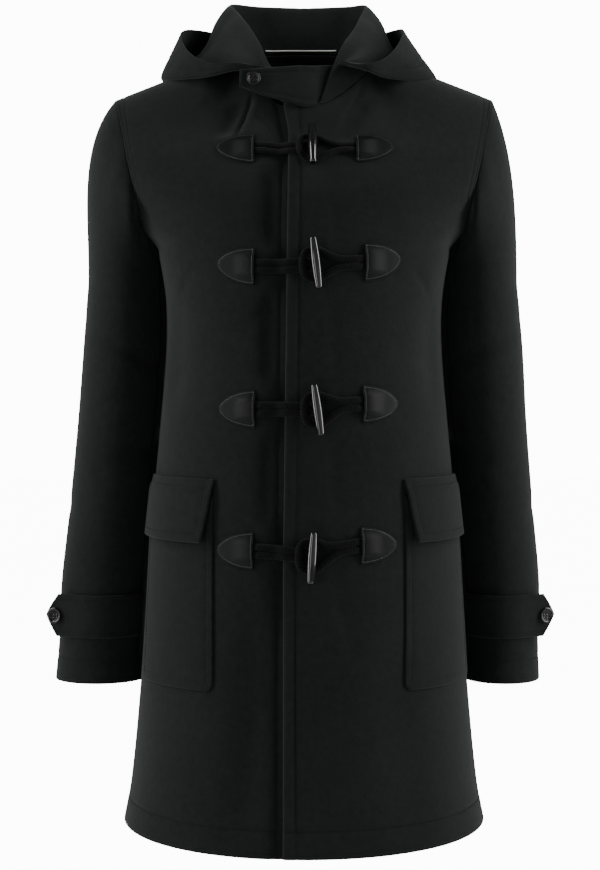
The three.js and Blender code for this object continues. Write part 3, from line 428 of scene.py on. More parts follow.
def look_up(face, which, u, h):
    net = BODY[face][which]
    a = np.clip((np.asarray(h, float) - HEM) / (TOP - HEM), 0, 1) * (len(ROWS) - 1)
    b = np.clip(np.abs(u), 0, 1) * (len(SHARES) - 1)
    i, j = np.minimum(a.astype(int), len(ROWS) - 2), np.minimum(b.astype(int), len(SHARES) - 2)
    x, y = (a - i)[..., None], (b - j)[..., None]
    near = net[i, j] * (1 - x) + net[i + 1, j] * x
    far = net[i, j + 1] * (1 - x) + net[i + 1, j + 1] * x
    out = near * (1 - y) + far * y
    out[..., 0] *= np.where(np.asarray(u) < 0, -1, 1)
    return out


def fold_depth(folds, s, z):
    total = np.zeros_like(s + z)
    for f in folds:
        t = (f["top"] - z) / (f["top"] - f["bottom"])
        across = (s - f["s"] - f["lean"] * t) / f["wide"]
        total += f["deep"] * smooth(0, 0.3, t) * smooth(1, 0.72, t) * np.exp(-across * across)
    return total


def crease_depth(creases, s, z):
    """Each crease is steep on one side and soft on the other, and fades at its ends."""
    total = np.zeros_like(s + z)
    for c in creases:
        ds, dz = c["to_s"] - c["s"], c["to_z"] - c["z"]
        length = math.hypot(ds, dz)
        along = ((s - c["s"]) * ds + (z - c["z"]) * dz) / length**2
        across = ((s - c["s"]) * dz - (z - c["z"]) * ds) / length
        wide = np.where(across < 0, c["wide"], c["wide"] * 0.6)
        ends = c["deep"] * smooth(-0.15, 0.3, along) * smooth(1.2, 0.6, along)
        total += ends * np.exp(-((across / wide) ** 2))
    return total


def on_body(face, s, h, off=0.0, drop=0.0, detail=True):
    """The cloth of the body, folds included, moved out by off."""
    s, h = np.broadcast_arrays(np.asarray(s, float), np.asarray(h, float))
    u = s / row_length(face, h)
    p = look_up(face, 0, u, h)
    n = unit(look_up(face, 1, u, h))
    depth = fold_depth(FRONT_FOLDS if face < 0 else BACK_FOLDS, s, p[..., 2])
    if detail:
        depth = depth + crease_depth(FRONT_CREASES if face < 0 else BACK_CREASES, s, p[..., 2])
    return p + n * (np.asarray(off - drop) - depth)[..., None]


def lap_at(z):
    return mix(LAP_TOP, LAP_HEM, np.clip((-60 - np.asarray(z, float)) / 490, 0, 1))


def on_front(x, z, off):
    """The front as the fastenings meet it: the upper front over the lower one."""
    lap = lap_at(z)
    drop = LAP_DROP * smooth(0, 1, (-lap + 2 - x) / 14) * smooth(-48, -19, x)
    return on_body(-1, x, z, off, drop, detail=False)


# Sleeves
def armhole(face):
    h = np.linspace(UNDERARM, TOP, 121)
    return look_up(face, 0, np.ones_like(h), h)


ARMHOLES = {face: armhole(face) for face in (-1, 1)}
RING_HEIGHTS = np.linspace(CUFF, CAP_BASE, 120)
RING = {key: np.array([float(column(SLEEVE_SECTIONS, key, z)) for z in RING_HEIGHTS])
        for key in ("x", "y", "wide", "deep", "right", "left")}


def sleeve_ring(side, around, z):
    get = {key: np.interp(z, RING_HEIGHTS, RING[key]) for key in RING}
    a = np.radians(around)
    more = get[WORD[side]] / 2
    x = get["x"] + more - (get["wide"] + more) * np.cos(a)
    return np.stack([x, get["y"] - get["deep"] * np.sin(a), z + 0 * a], -1)


def sleeve_point(side, around, down):
    around, down = np.broadcast_arrays(np.asarray(around, float), np.asarray(down, float))
    turn = np.mod(around, 360)
    front = by_length(ARMHOLES[-1], np.clip(turn / 180, 0, 1))[0]
    back = by_length(ARMHOLES[1], np.clip((360 - turn) / 180, 0, 1))[0]
    start = np.where((turn <= 180)[..., None], front, back)
    end = sleeve_ring(side, around, np.full(around.shape, float(CAP_BASE)))
    far = np.linalg.norm(end - start, axis=-1, keepdims=True)
    high = (1 - np.cos(np.radians(turn))) / 2
    ahead = np.sin(np.radians(turn))
    tuck = TUCK * np.maximum(0, -ahead) * (1 - high) ** 2  # draws the back of the underarm in
    out, sink = CAP_LEAVE[side]
    leave = unit(np.stack([mix(-0.06, out, high) - tuck, -0.3 * ahead, mix(-1, sink, high)], -1))
    arrive = unit(sleeve_ring(side, around, np.full(around.shape, CAP_BASE - 10.0)) - end)
    cap = hermite(start, leave * far, end, arrive * far * 0.95, np.clip(down, 0, 1)[..., None])
    ring = sleeve_ring(side, around, mix(CAP_BASE, CUFF, np.clip(down - 1, 0, 1)))
    return np.where((down > 1)[..., None], ring, cap)


def sleeve_fold_depth(around, z, folds):
    total = np.zeros_like(around + z)
    for f in folds:
        away = np.mod(np.mod(around - f["around"], 360) + 540, 360) - 180
        across = (z - f["z"] - f["lean"] * away / f["reach"]) / f["wide"]
        across = np.where(across > 0, across, across * 1.5)
        total += f["deep"] * np.exp(-across * across - (away / f["reach"]) ** 2)
    return total


def outward(surface, a, b, step_a, step_b, sign, limits_a, limits_b):
    """Outward directions of a surface of two numbers."""
    ca, cb = np.clip(a, *limits_a), np.clip(b, *limits_b)
    along_a = surface(ca + step_a, cb) - surface(ca - step_a, cb)
    along_b = surface(ca, cb + step_b) - surface(ca, cb - step_b)
    return unit(np.cross(along_a, along_b)) * sign


def on_sleeve(side, around, down, off=0.0):
    around, down = np.broadcast_arrays(np.asarray(around, float), np.asarray(down, float))
    n = outward(lambda a, b: sleeve_point(side, a, b), around, down, 2, 0.01, -1,
                (-1e9, 1e9), (0.02, 1.98))
    p = sleeve_point(side, around, down)
    depth = sleeve_fold_depth(around, p[..., 2], SLEEVE_FOLDS + SLEEVE_CREASES)
    p = p + n * (np.asarray(off) - depth)[..., None]
    p[..., 0] *= side
    return p


def down_at(z):
    return 1 + (z - CAP_BASE) / (CUFF - CAP_BASE)


# Hood
def hood_seam(side, along):
    total = by_length(NECKLINES[-1], [0])[1]
    if along < 0.5:
        share = mix(HOOD_START[side] / total, 1, along / 0.5)
        p = by_length(NECKLINES[-1], [abs(share)])[0][0].copy()
        if share < 0:
            p[0] = -p[0]
    else:
        p = by_length(NECKLINES[1], [1 - (along - 0.5) / 0.5])[0][0].copy()
    p[2] += SEAM_GAP + 0.4
    return p


HOOD_ALONGS = np.linspace(0, 1, 241)


def hood_net(side):
    rows = HOOD_LEFT if side > 0 else HOOD_RIGHT
    return np.array([
        [hood_seam(side, at) if key == "seam" else column(rows, key, at, "at") for key in HOOD_KEYS]
        for at in HOOD_ALONGS
    ])


HOOD_NETS = {side: hood_net(side) for side in (-1, 1)}


def hood_point(side, along, up):
    net = HOOD_NETS[side]
    a = np.clip(along, 0, 1) * (len(HOOD_ALONGS) - 1)
    i = np.minimum(a.astype(int), len(HOOD_ALONGS) - 2)
    x = (a - i)[..., None]
    last = len(HOOD_KEYS) - 1
    b = np.clip(up, 0, 1) * last
    j = np.minimum(b.astype(int), last - 1)

    def at(k):
        k = np.clip(k, 0, last)
        return net[i, k] * (1 - x) + net[i + 1, k] * x

    p, q = at(j), at(j + 1)
    slope_p = (q - at(j - 1)) / np.where(j > 0, 2, 1)[..., None]
    slope_q = (at(j + 2) - p) / np.where(j < last - 1, 2, 1)[..., None]
    return hermite(p, slope_p, q, slope_q, (b - j)[..., None])


def on_hood(side, along, up, off):
    along, up = np.broadcast_arrays(np.asarray(along, float), np.asarray(up, float))
    n = outward(lambda a, b: hood_point(side, a, b), along, up, 0.003, 0.003, 1,
                (0.004, 0.996), (0.004, 0.996))
    n[..., 0] = np.where(along > 0.9999, 0, n[..., 0])
    n = unit(n)
    p = hood_point(side, along, up) + n * np.asarray(off)[..., None]
    x = np.where(along > 0.9999, SEAM_GAP / 2, p[..., 0])
    p[..., 0] = (x - HOOD_DRAW * smooth(0.98, 1, along)) * side
    return p


# Meshes
def placed(name, data):
    """A new object in the scene."""
    obj = bpy.data.objects.new(name, data)
    bpy.context.scene.collection.objects.link(obj)
    return obj


def make_mesh(name, points, faces, uv):
    """A mesh object from points in millimetres. uv is a pair for each point."""
    name = name.replace(" ", "_") + "_shown"
    mesh = bpy.data.meshes.new(name)
    mesh.from_pydata((np.asarray(points, float) * MM).tolist(), [], faces)
    layer = mesh.uv_layers.new(name="cloth_mm")
    loops = np.empty(len(mesh.loops), dtype=np.int32)
    mesh.loops.foreach_get("vertex_index", loops)
    layer.data.foreach_set("uv", np.asarray(uv, float)[loops].ravel())
    work = bmesh.new()
    work.from_mesh(mesh)
    bmesh.ops.recalc_face_normals(work, faces=work.faces)
    if work.calc_volume(signed=True) < 0:
        bmesh.ops.reverse_faces(work, faces=work.faces)
    work.to_mesh(mesh)
    work.free()
    mesh.polygons.foreach_set("use_smooth", [True] * len(mesh.polygons))
    mesh.update()
    return placed(name, mesh)


def rim_places(low, high, step, fine=CLOTH / 2):
    """Places from low to high, closer together at both ends so that the free edges can be round."""
    near = [0, 0.06 * fine, 0.25 * fine, 0.6 * fine]
    inner = np.linspace(low + fine, high - fine, max(2, int(round(abs(high - low) / step)) + 1))
    return np.array([low + d for d in near] + list(inner) + [high - d for d in near][::-1])


def from_ends(share, length):
    """How far a share of a length is from the nearer end."""
    return np.minimum(share, 1 - share) * length


def rounded(distance, thickness):
    """Half the thickness of cloth at a distance from its free edge."""
    half = thickness / 2
    t = np.clip(distance / half, 0, 1)
    return half * np.sqrt(np.maximum(1 - (1 - t) ** 2, 0))


def shell(name, outer, inner, uv):
    """A closed wall between two nets whose borders coincide."""
    rows, cols = outer.shape[:2]
    index = np.arange(rows * cols).reshape(rows, cols)
    back = np.full((rows, cols), -1)
    inside = np.zeros((rows, cols), bool)
    inside[1:-1, 1:-1] = True
    back[inside] = rows * cols + np.arange(inside.sum())
    back[~inside] = index[~inside]
    points = np.concatenate([outer.reshape(-1, 3), inner[inside]])
    both = np.concatenate([uv.reshape(-1, 2), uv[inside]])

    def quads(net):
        return np.stack([net[:-1, :-1], net[:-1, 1:], net[1:, 1:], net[1:, :-1]], -1).reshape(-1, 4)

    faces = quads(index).tolist() + quads(back)[:, ::-1].tolist()
    return make_mesh(name, points, faces, both)


def cloth(name, surface, a, b, thickness, edge, uv, height, inside=None):
    """Cloth on surface(A, B, off). edge gives each place's distance to the nearest free edge."""
    A, B = np.meshgrid(a, b)
    half = rounded(edge(A, B), thickness)
    sunk = (inside(A, B) if inside else 0) * (half > 0.4 * thickness)
    outer = surface(A, B, -thickness / 2 + half + height(A, B))
    inner = surface(A, B, -thickness / 2 - half - sunk)
    return shell(name, outer, inner, np.stack(uv(A, B), -1))


def flat_cloth(name, surface, long, tall, steps, height, thickness=CLOTH, inside=None):
    """Cloth whose A runs over long millimetres and whose B runs over tall."""
    a = rim_places(0, long, steps[0], thickness / 2) / long
    b = rim_places(0, tall, steps[1], thickness / 2) / tall
    return cloth(name, surface, a, b, thickness,
                 lambda A, B: np.minimum(from_ends(A, long), from_ends(B, tall)),
                 lambda A, B: (A * long, B * tall), height, inside)


def ring_faces(rows, sides):
    """Numbers of a tube's points, ring by ring, of each one's neighbour, and the faces between rings."""
    index = np.arange(rows * sides).reshape(rows, sides)
    beside = np.roll(index, -1, axis=1)
    faces = np.stack([index[:-1], beside[:-1], beside[1:], index[1:]], -1).reshape(-1, 4).tolist()
    return index, beside, faces


def tube(name, rings, uv):
    """A closed tube through rings of points."""
    index, _, faces = ring_faces(*rings.shape[:2])
    faces += [index[0][::-1].tolist(), index[-1].tolist()]
    return make_mesh(name, rings.reshape(-1, 3), faces, uv)


SEWN = {"wool": [], "leather": []}


def sew(kind, surface, height, *lines):
    """Notes lines of stitches on a surface. A line is two sets of the surface's numbers."""
    for a, b in lines:
        a, b = np.broadcast_arrays(np.atleast_2d(a).astype(float), np.atleast_2d(b).astype(float))
        SEWN[kind].append(surface(a, b, height(a, b) + STITCH_STANDS).reshape(-1, 3))


def three_sides(at, wide, tall):
    """A line down one side, along the bottom and up the other, at a distance from the edges."""
    n = 80
    left, right, low = at / wide, 1 - at / wide, at / tall
    a = np.concatenate([np.full(n, left), np.linspace(left, right, n), np.full(n, right)])
    b = np.concatenate([np.linspace(0.99, low, n), np.full(n, low), np.linspace(low, 0.99, n)])
    return a, b


def sew_round_end(surface, height, at, long, tall):
    """Stitches along both long edges of a strap and across its end."""
    end, low = 1 - at / long, at / tall
    along = np.linspace(0.02, end, 60)
    sew("wool", surface, height, (along, low), (along, 1 - low),
        (np.full((20, 1), end), np.linspace(low, 1 - low, 20)[:, None]))


def groove(distance, at, deep=0.7, wide=1.3):
    """The dip that a line of stitches pulls into the cloth."""
    return -deep * np.exp(-(((distance - at) / wide) ** 2))


def ride_and_replace(obj, node_name, material):
    obj.data.materials.append(material)
    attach(obj, "root")
    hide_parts(node_name)


# Materials
WORLD_LIGHT = 0.75  # the soft light from all round
BACKDROP_SEEN = 12.0  # the white paper round the coat, as the camera sees it


def colour(code):
    """sRGB hex as linear light."""
    parts = [int(code[i:i + 2], 16) / 255 for i in (1, 3, 5)]
    return tuple(c / 12.92 if c <= 0.04045 else ((c + 0.055) / 1.055) ** 2.4 for c in parts) + (1.0,)


def node(tree, kind, settings=None, **links):
    """A node with its properties, its inputs' values and what feeds them."""
    made = tree.nodes.new(kind)
    for key, value in (settings or {}).items():
        setattr(made, key, value)
    for key, value in links.items():
        name = key.replace("_", " ")
        socket = next((s for s in made.inputs if s.name.lower() == name.lower() and s.enabled), None)
        if socket is None:
            socket = made.inputs[int(key[1:])]
        if isinstance(value, bpy.types.NodeSocket):
            tree.links.new(value, socket)
        else:
            socket.default_value = value
    return made


def maths(tree, operation, *values):
    """A math node's result. Its values are numbers or other nodes' outputs."""
    inputs = {f"i{k}": value for k, value in enumerate(values)}
    return node(tree, "ShaderNodeMath", {"operation": operation}, **inputs).outputs[0]


def noise(tree, place, scale, detail, **more):
    return node(tree, "ShaderNodeTexNoise", Vector=place, Scale=scale, Detail=detail, **more).outputs[0]


def on_object(tree):
    return node(tree, "ShaderNodeTexCoord").outputs["Object"]


def own_uv(tree):
    return node(tree, "ShaderNodeUVMap", {"uv_map": "cloth_mm"}).outputs[0]


def set_inputs(made, **values):
    """Sets a node's inputs by name, with an underscore for each space."""
    for key, value in values.items():
        made.inputs[key.replace("_", " ")].default_value = value


def new_material(name):
    material = bpy.data.materials.new(name)
    material.use_nodes = True
    tree = material.node_tree
    tree.nodes.clear()
    shader = tree.nodes.new("ShaderNodeBsdfPrincipled")
    out = tree.nodes.new("ShaderNodeOutputMaterial")
    tree.links.new(shader.outputs["BSDF"], out.inputs["Surface"])
    return material, tree, shader


def tone(tree, shader, fac, *stops):
    """Colours a shader between two stops, each a place from 0 to 1 with its colour."""
    ramp = node(tree, "ShaderNodeValToRGB", Fac=fac)
    for element, (place, code) in zip(ramp.color_ramp.elements, stops):
        element.position = place
        element.color = colour(code)
    tree.links.new(ramp.outputs[0], shader.inputs["Base Color"])


def bump(tree, shader, height, strength, distance):
    made = node(tree, "ShaderNodeBump", Height=height, Strength=strength, Distance=distance)
    tree.links.new(made.outputs[0], shader.inputs["Normal"])


def wool_material():
    """Brushed wool: a fibre nap that catches light at a grazing view, over a felted, mottled ground."""
    material, tree, shader = new_material("black brushed wool")
    place = on_object(tree)
    nap = noise(tree, place, 700.0, 4.0, Roughness=0.7)
    felt = noise(tree, place, 150.0, 5.0, Roughness=0.65)
    cloud = noise(tree, place, 14.0, 3.0, Roughness=0.5)
    hairs = maths(tree, "MULTIPLY_ADD", felt, 0.55, maths(tree, "MULTIPLY", nap, 0.45))
    mottled = maths(tree, "MULTIPLY_ADD", cloud, 0.18, hairs)
    tone(tree, shader, mottled, (0.36, "#060707"), (0.78, "#141616"))
    set_inputs(shader, Roughness=0.92, Specular_IOR_Level=0.08, Sheen_Weight=0.12,
               Sheen_Roughness=0.45, Sheen_Tint=colour("#c9cfcd"))
    bump(tree, shader, hairs, 0.55, 0.0009)
    return material


def leather_material():
    """Smooth black leather: a fine pebbled grain and a soft wide sheen."""
    material, tree, shader = new_material("black leather")
    place = on_object(tree)
    grain = node(tree, "ShaderNodeTexVoronoi", {"feature": "F1"}, Vector=place, Scale=900.0)
    rub = noise(tree, place, 60.0, 3.0)
    tone(tree, shader, rub, (0.3, "#080909"), (0.75, "#0d0e0e"))
    rough = node(tree, "ShaderNodeMapRange", Value=rub, To_Min=0.42, To_Max=0.58)
    tree.links.new(rough.outputs[0], shader.inputs["Roughness"])
    set_inputs(shader, Specular_IOR_Level=0.085)
    bump(tree, shader, grain.outputs["Distance"], 0.25, 0.0003)
    return material


def cord_material():
    """Wool-covered cord: yarns that wind round it, from the turn and the millimetres in its UV."""
    material, tree, shader = new_material("black wool cord")
    parts = node(tree, "ShaderNodeSeparateXYZ", Vector=own_uv(tree))
    along = maths(tree, "MULTIPLY", parts.outputs[1], 1.9)
    twist = maths(tree, "MULTIPLY_ADD", parts.outputs[0], 2.4, along)
    fuzz = noise(tree, on_object(tree), 900.0, 3.0)
    height = maths(tree, "MULTIPLY_ADD", maths(tree, "SINE", twist), 0.35, fuzz)
    tone(tree, shader, height, (0.1, "#040404"), (0.9, "#0d0e0e"))
    set_inputs(shader, Roughness=0.85, Specular_IOR_Level=0.05, Sheen_Weight=0.03)
    bump(tree, shader, height, 0.45, 0.0005)
    return material


def horn_material():
    """Polished horn: nearly black, with faint grey-brown streaks along it under a hard gloss."""
    material, tree, shader = new_material("dark polished horn")
    stretched = node(tree, "ShaderNodeMapping", Vector=own_uv(tree), Scale=(0.5, 0.03, 1)).outputs[0]
    tone(tree, shader, noise(tree, stretched, 1.0, 4.0), (0.45, "#050505"), (0.8, "#0e0c0b"))
    set_inputs(shader, Roughness=0.08, Specular_IOR_Level=0.45)
    return material


def plain_material(name, code, roughness, **more):
    material, _, shader = new_material(name)
    set_inputs(shader, Base_Color=colour(code), Roughness=roughness, **more)
    return material


def paper_material():
    """Pale studio paper, burnt out to white for the camera."""
    material, tree, shader = new_material("pale paper")
    set_inputs(shader, Base_Color=colour("#f4f4f4"), Roughness=0.9, Emission_Color=(1, 1, 1, 1))
    seen = node(tree, "ShaderNodeLightPath").outputs["Is Camera Ray"]
    tree.links.new(maths(tree, "MULTIPLY", seen, BACKDROP_SEEN), shader.inputs["Emission Strength"])
    return material


WOOL = wool_material()
LEATHER_BLACK = leather_material()
CORD = cord_material()
HORN = horn_material()
# A hard gloss with sharp lights, and a thread as dull as the wool
RESIN = plain_material("black resin button", "#040404", 0.1, Specular_IOR_Level=0.35)
THREAD = plain_material("black thread", "#040505", 0.8, Specular_IOR_Level=0.1)
LEATHER_THREAD = plain_material("waxed grey thread", "#34383a", 0.4)  # the grey dots round a patch
TAPE = plain_material("pale satin cord", "#d8d6d0", 0.35)  # the thin bright line inside the neck


# Body panels
BY_ARMHOLE = (np.linspace(UNDERARM + 3, TOP - 4, 160) - HEM) / (TOP - HEM)  # shares of the height


def armhole_grooves(to_side, arm):
    """The dips of the two rows of stitches beside an armhole, where arm is 1."""
    near, far = ARMHOLE_STITCHES
    return arm * (groove(to_side, near, 0.5) + groove(to_side, far, 0.6))


def front_panel(side):
    under = side < 0
    word = WORD[side]
    wide = 250
    tall = TOP - HEM

    def surface(A, B, off):
        h = mix(HEM, TOP - SEAM_GAP / 2, B)
        lap = UNDERLAP if under else lap_at(h)
        s = mix(-lap, row_length(-1, h) + SIDE_LAP, A)
        drop = LAP_DROP * smooth(48, LAP_HEM, s) if under else 0
        return on_body(-1, side * s, h, off, drop)

    def span(B):
        h = mix(HEM, TOP, B)
        return row_length(-1, h) + (UNDERLAP if under else lap_at(h))

    def height(A, B):
        h = mix(HEM, TOP, B)
        to_edge = A * span(B)
        raised = groove(B * tall, HEM_STITCH)
        if under:
            beside = to_edge - UNDERLAP - lap_at(h)
            free = 1 - 0.7 * sum(np.exp(-(((h - f["z"]) / 15) ** 2)) for f in FASTENINGS)
            raised = raised - EDGE_TROUGH * np.exp(-(((beside - 2) / 6) ** 2)) * np.clip(free, 0, 1)
        else:
            raised = raised + groove(to_edge, EDGE_STITCH, 1.0, 1.4)
            raised = raised + EDGE_STANDS * smooth(0, 1.5, to_edge) * smooth(13, 9, to_edge)
        arm = smooth(UNDERARM - 6, UNDERARM + 4, h) * smooth(TOP + 3, TOP - 6, h)
        return raised + armhole_grooves((1 - A) * span(B), arm)

    a = rim_places(0, wide, 2.4) / wide
    b = rim_places(0, tall, 3.0) / tall
    obj = cloth(f"front {word}", surface, a, b, CLOTH,
                lambda A, B: np.minimum(from_ends(A, span(B)), from_ends(B, tall)),
                lambda A, B: (A * span(B), B * tall), height)
    ride_and_replace(obj, f"front_{word}", WOOL)
    sew("wool", surface, height, (np.linspace(0.01, 0.99, 160), HEM_STITCH / tall),
        *((1 - at / span(BY_ARMHOLE), BY_ARMHOLE) for at in ARMHOLE_STITCHES))
    if not under:
        up = np.linspace(0.004, 0.985, 420)
        sew("wool", surface, height, (EDGE_STITCH / span(up), up))


def back_panel():
    half = 240
    tall = TOP - HEM

    def surface(A, B, off):
        h = mix(HEM, TOP - SEAM_GAP / 2, B)
        return on_body(1, A * (row_length(1, h) + SIDE_LAP), h, off)

    def span(B):
        return row_length(1, mix(HEM, TOP, B))

    def height(A, B):
        arm = smooth(UNDERARM - 6, UNDERARM + 4, mix(HEM, TOP, B))
        return groove(B * tall, HEM_STITCH) + armhole_grooves((1 - np.abs(A)) * span(B), arm)

    a = rim_places(-half, half, 3.4) / half
    b = rim_places(0, tall, 3.6) / tall
    obj = cloth("back", surface, a, b, CLOTH,
                lambda A, B: np.minimum((1 - np.abs(A)) * span(B), from_ends(B, tall)),
                lambda A, B: (A * span(B), B * tall), height)
    ride_and_replace(obj, "back", WOOL)
    sew("wool", surface, height, (np.linspace(-0.99, 0.99, 320), HEM_STITCH / tall),
        *((way * (1 - at / span(BY_ARMHOLE)), BY_ARMHOLE) for way in (-1, 1) for at in ARMHOLE_STITCHES))


def sleeve_piece(side, part, start, end):
    word = WORD[side]
    gap = SEAM_GAP / 2 / SLEEVE_DEGREE
    first, last = start + gap, end - gap
    around_mm = SLEEVE_DEGREE * (last - first)

    def surface(A, B, off):
        return on_sleeve(side, mix(first, last, A), 2 * B, off)

    def height(A, B):
        raised = groove((1 - B) * SLEEVE_RATE, CUFF_STITCH, 0.6)
        return raised + groove(from_ends(A, around_mm), SEAM_STITCH, 0.5) if part == "upper" else raised

    obj = flat_cloth(f"sleeve {part} {word}", surface, around_mm, 640.0, (3.2, 3.6), height)
    ride_and_replace(obj, f"sleeve_{part}_{word}", WOOL)
    sew("wool", surface, height, (np.linspace(0.01, 0.99, 80), 1 - CUFF_STITCH / SLEEVE_RATE))


def hood_half(side):
    word = WORD[side]
    around_mm, up_mm = 210.0, 330.0

    def surface(A, B, off):
        return on_hood(side, A, B, off + CLOTH / 2)

    def height(A, B):
        return groove((1 - B) * up_mm, HOOD_STITCH, 0.6) + groove((1 - A) * around_mm, SEAM_STITCH, 0.5)

    def inside(A, B):
        return groove((1 - A) * around_mm, SEAM_STITCH, 0.6, 1.4)

    obj = flat_cloth(f"hood {word}", surface, around_mm, up_mm, (2.2, 2.8), height, inside=inside)
    ride_and_replace(obj, f"hood_{word}", WOOL)
    sew("wool", surface, height, (np.linspace(0.02, 0.98, 200), 1 - HOOD_STITCH / up_mm))


def pocket(side):
    word = WORD[side]
    inner = POCKET_INNER[side]
    tall = POCKET_TOP - POCKET_BOTTOM

    def surface(A, B, off):
        corner = 7 * np.clip(1 - B * tall / 9, 0, 1) ** 2
        s = mix(inner + corner, inner + POCKET_WIDE - corner, A)
        return on_body(-1, side * s, mix(POCKET_BOTTOM, POCKET_TOP, B), SEAM_GAP + POCKET_THICK + off)

    def height(A, B):
        edge = np.minimum(from_ends(A, POCKET_WIDE), B * tall)
        return groove(edge, 2.6, 0.5, 1.0) + groove(edge, POCKET_STITCH, 0.5, 1.0)

    obj = flat_cloth(f"pocket {word}", surface, POCKET_WIDE, tall, (2.6, 2.8), height, POCKET_THICK)
    ride_and_replace(obj, f"pocket_{word}", WOOL)
    sew("wool", surface, height, three_sides(POCKET_STITCH, POCKET_WIDE, tall))


def flap(side):
    word = WORD[side]
    inner = POCKET_INNER[side] - 2
    over = POCKET_THICK + 2 * SEAM_GAP

    def surface(A, B, off):
        t = 1 - B
        s = inner + FLAP_SHIFT * t + FLAP_WIDE * A
        stand = mix(FLAP_FLARE, 1, A) * t * t
        lift = SEAM_GAP + over * smooth(0, 0.26, t) + stand
        return on_body(-1, side * s, FLAP_TOP - FLAP_DROP * t, off + lift + FLAP_THICK)

    def height(A, B):
        edge = np.minimum(from_ends(A, FLAP_WIDE), B * FLAP_DROP)
        return groove(edge, POCKET_STITCH, 0.6) + groove((1 - B) * FLAP_DROP, POCKET_STITCH, 0.6)

    obj = flat_cloth(f"pocket flap {word}", surface, FLAP_WIDE, FLAP_DROP, (2.6, 2.2), height, FLAP_THICK)
    ride_and_replace(obj, f"pocket_flap_{word}", WOOL)
    near = POCKET_STITCH / FLAP_WIDE
    sew("wool", surface, height, three_sides(POCKET_STITCH, FLAP_WIDE, FLAP_DROP),
        (np.linspace(near, 1 - near, 60), 1 - POCKET_STITCH / FLAP_DROP))


# Cuff straps, which leave the sleeve and end in a point beyond it
def strap_frame(side, z):
    down = down_at(z)
    around = np.linspace(STRAP_FROM, STRAP_LEAVES, 60)
    points = on_sleeve(side, around, np.full(60, down), 3 * SEAM_GAP)
    way = unit(points[-1] - on_sleeve(side, STRAP_LEAVES - 1, down, 3 * SEAM_GAP))
    centre = (STRAP_TOP + STRAP_BOTTOM) / 2
    half = (STRAP_TOP - STRAP_BOTTOM) / 2
    end = STRAP_END - STRAP_POINT * (abs(z - centre) / half) ** 1.2
    tail = points[-1] + way * (end * np.linspace(0, 1, 30)[1:, None])
    return np.concatenate([points, tail]), way


def strap_line(side, z, shares, off):
    points, _ = strap_frame(side, z)
    even, _ = by_length(points, shares)
    line = np.gradient(by_length(points, np.linspace(0, 1, 120))[0], axis=0)
    n = unit(np.cross(line, np.array([0, 0, float(side)])))
    n = np.stack([np.interp(shares, np.linspace(0, 1, 120), n[:, k]) for k in range(3)], -1)
    return even + unit(n) * np.asarray(off)[..., None]


def strap(side):
    word = WORD[side]
    long, tall = STRAP_LONG, STRAP_TOP - STRAP_BOTTOM

    def surface(A, B, off):
        return np.array([
            strap_line(side, mix(STRAP_BOTTOM, STRAP_TOP, b), A[i], off[i] + STRAP_THICK)
            for i, b in enumerate(B[:, 0])
        ])

    def height(A, B):
        return groove(np.minimum(from_ends(B, tall), (1 - A) * long), STRAP_STITCH, 0.55, 1.1)

    obj = flat_cloth(f"cuff strap {word}", surface, long, tall, (2.2, 2.0), height, STRAP_THICK)
    ride_and_replace(obj, f"cuff_strap_{word}", WOOL)
    sew_round_end(surface, height, STRAP_STITCH, long, tall)


def strap_button_place(side):
    points, way = strap_frame(side, (STRAP_TOP + STRAP_BOTTOM) / 2)
    last = points[59]
    n = unit(np.cross(way, np.array([0, 0, float(side)])))
    return last + way * (STRAP_END - STRAP_BUTTON) + n * (STRAP_THICK + 2 * SEAM_GAP), n


# Throat tab
def tab_point(share, up):
    rows = [dict(row, i=i) for i, row in enumerate(TAB_SECTIONS)]
    places = np.linspace(0, len(rows) - 1, 121)
    get = {key: np.interp(np.asarray(share) * (len(rows) - 1), places,
                          [float(column(rows, key, p, "i")) for p in places])
           for key in ("x", "y", "bottom", "top_y", "top")}
    return np.stack([get["x"], mix(get["y"], get["top_y"], up), mix(get["bottom"], get["top"], up)], -1)


def on_tab(share, up, off):
    share, up = np.broadcast_arrays(np.asarray(share, float), np.asarray(up, float))
    n = outward(tab_point, share, up, 0.01, 0.02, -1, (0.01, 0.99), (0.02, 0.98))
    return tab_point(share, up) + n * np.asarray(off)[..., None], n


def throat_tab():
    long, tall = 92.0, 31.0

    def surface(A, B, off):
        return on_tab(A, B, off + TAB_THICK)[0]

    def height(A, B):
        return groove(np.minimum(from_ends(B, tall), (1 - A) * long), TAB_STITCH, 0.6, 1.0)

    obj = flat_cloth("throat tab", surface, long, tall, (1.8, 1.6), height, TAB_THICK)
    ride_and_replace(obj, "throat_tab", WOOL)
    sew_round_end(surface, height, TAB_STITCH, long, tall)


# Leather patches
def upright(z):
    """How much of a short length laid up the front is height."""
    return 16 / np.linalg.norm(on_front(52.0, z + 8, 0.0) - on_front(52.0, z - 8, 0.0))


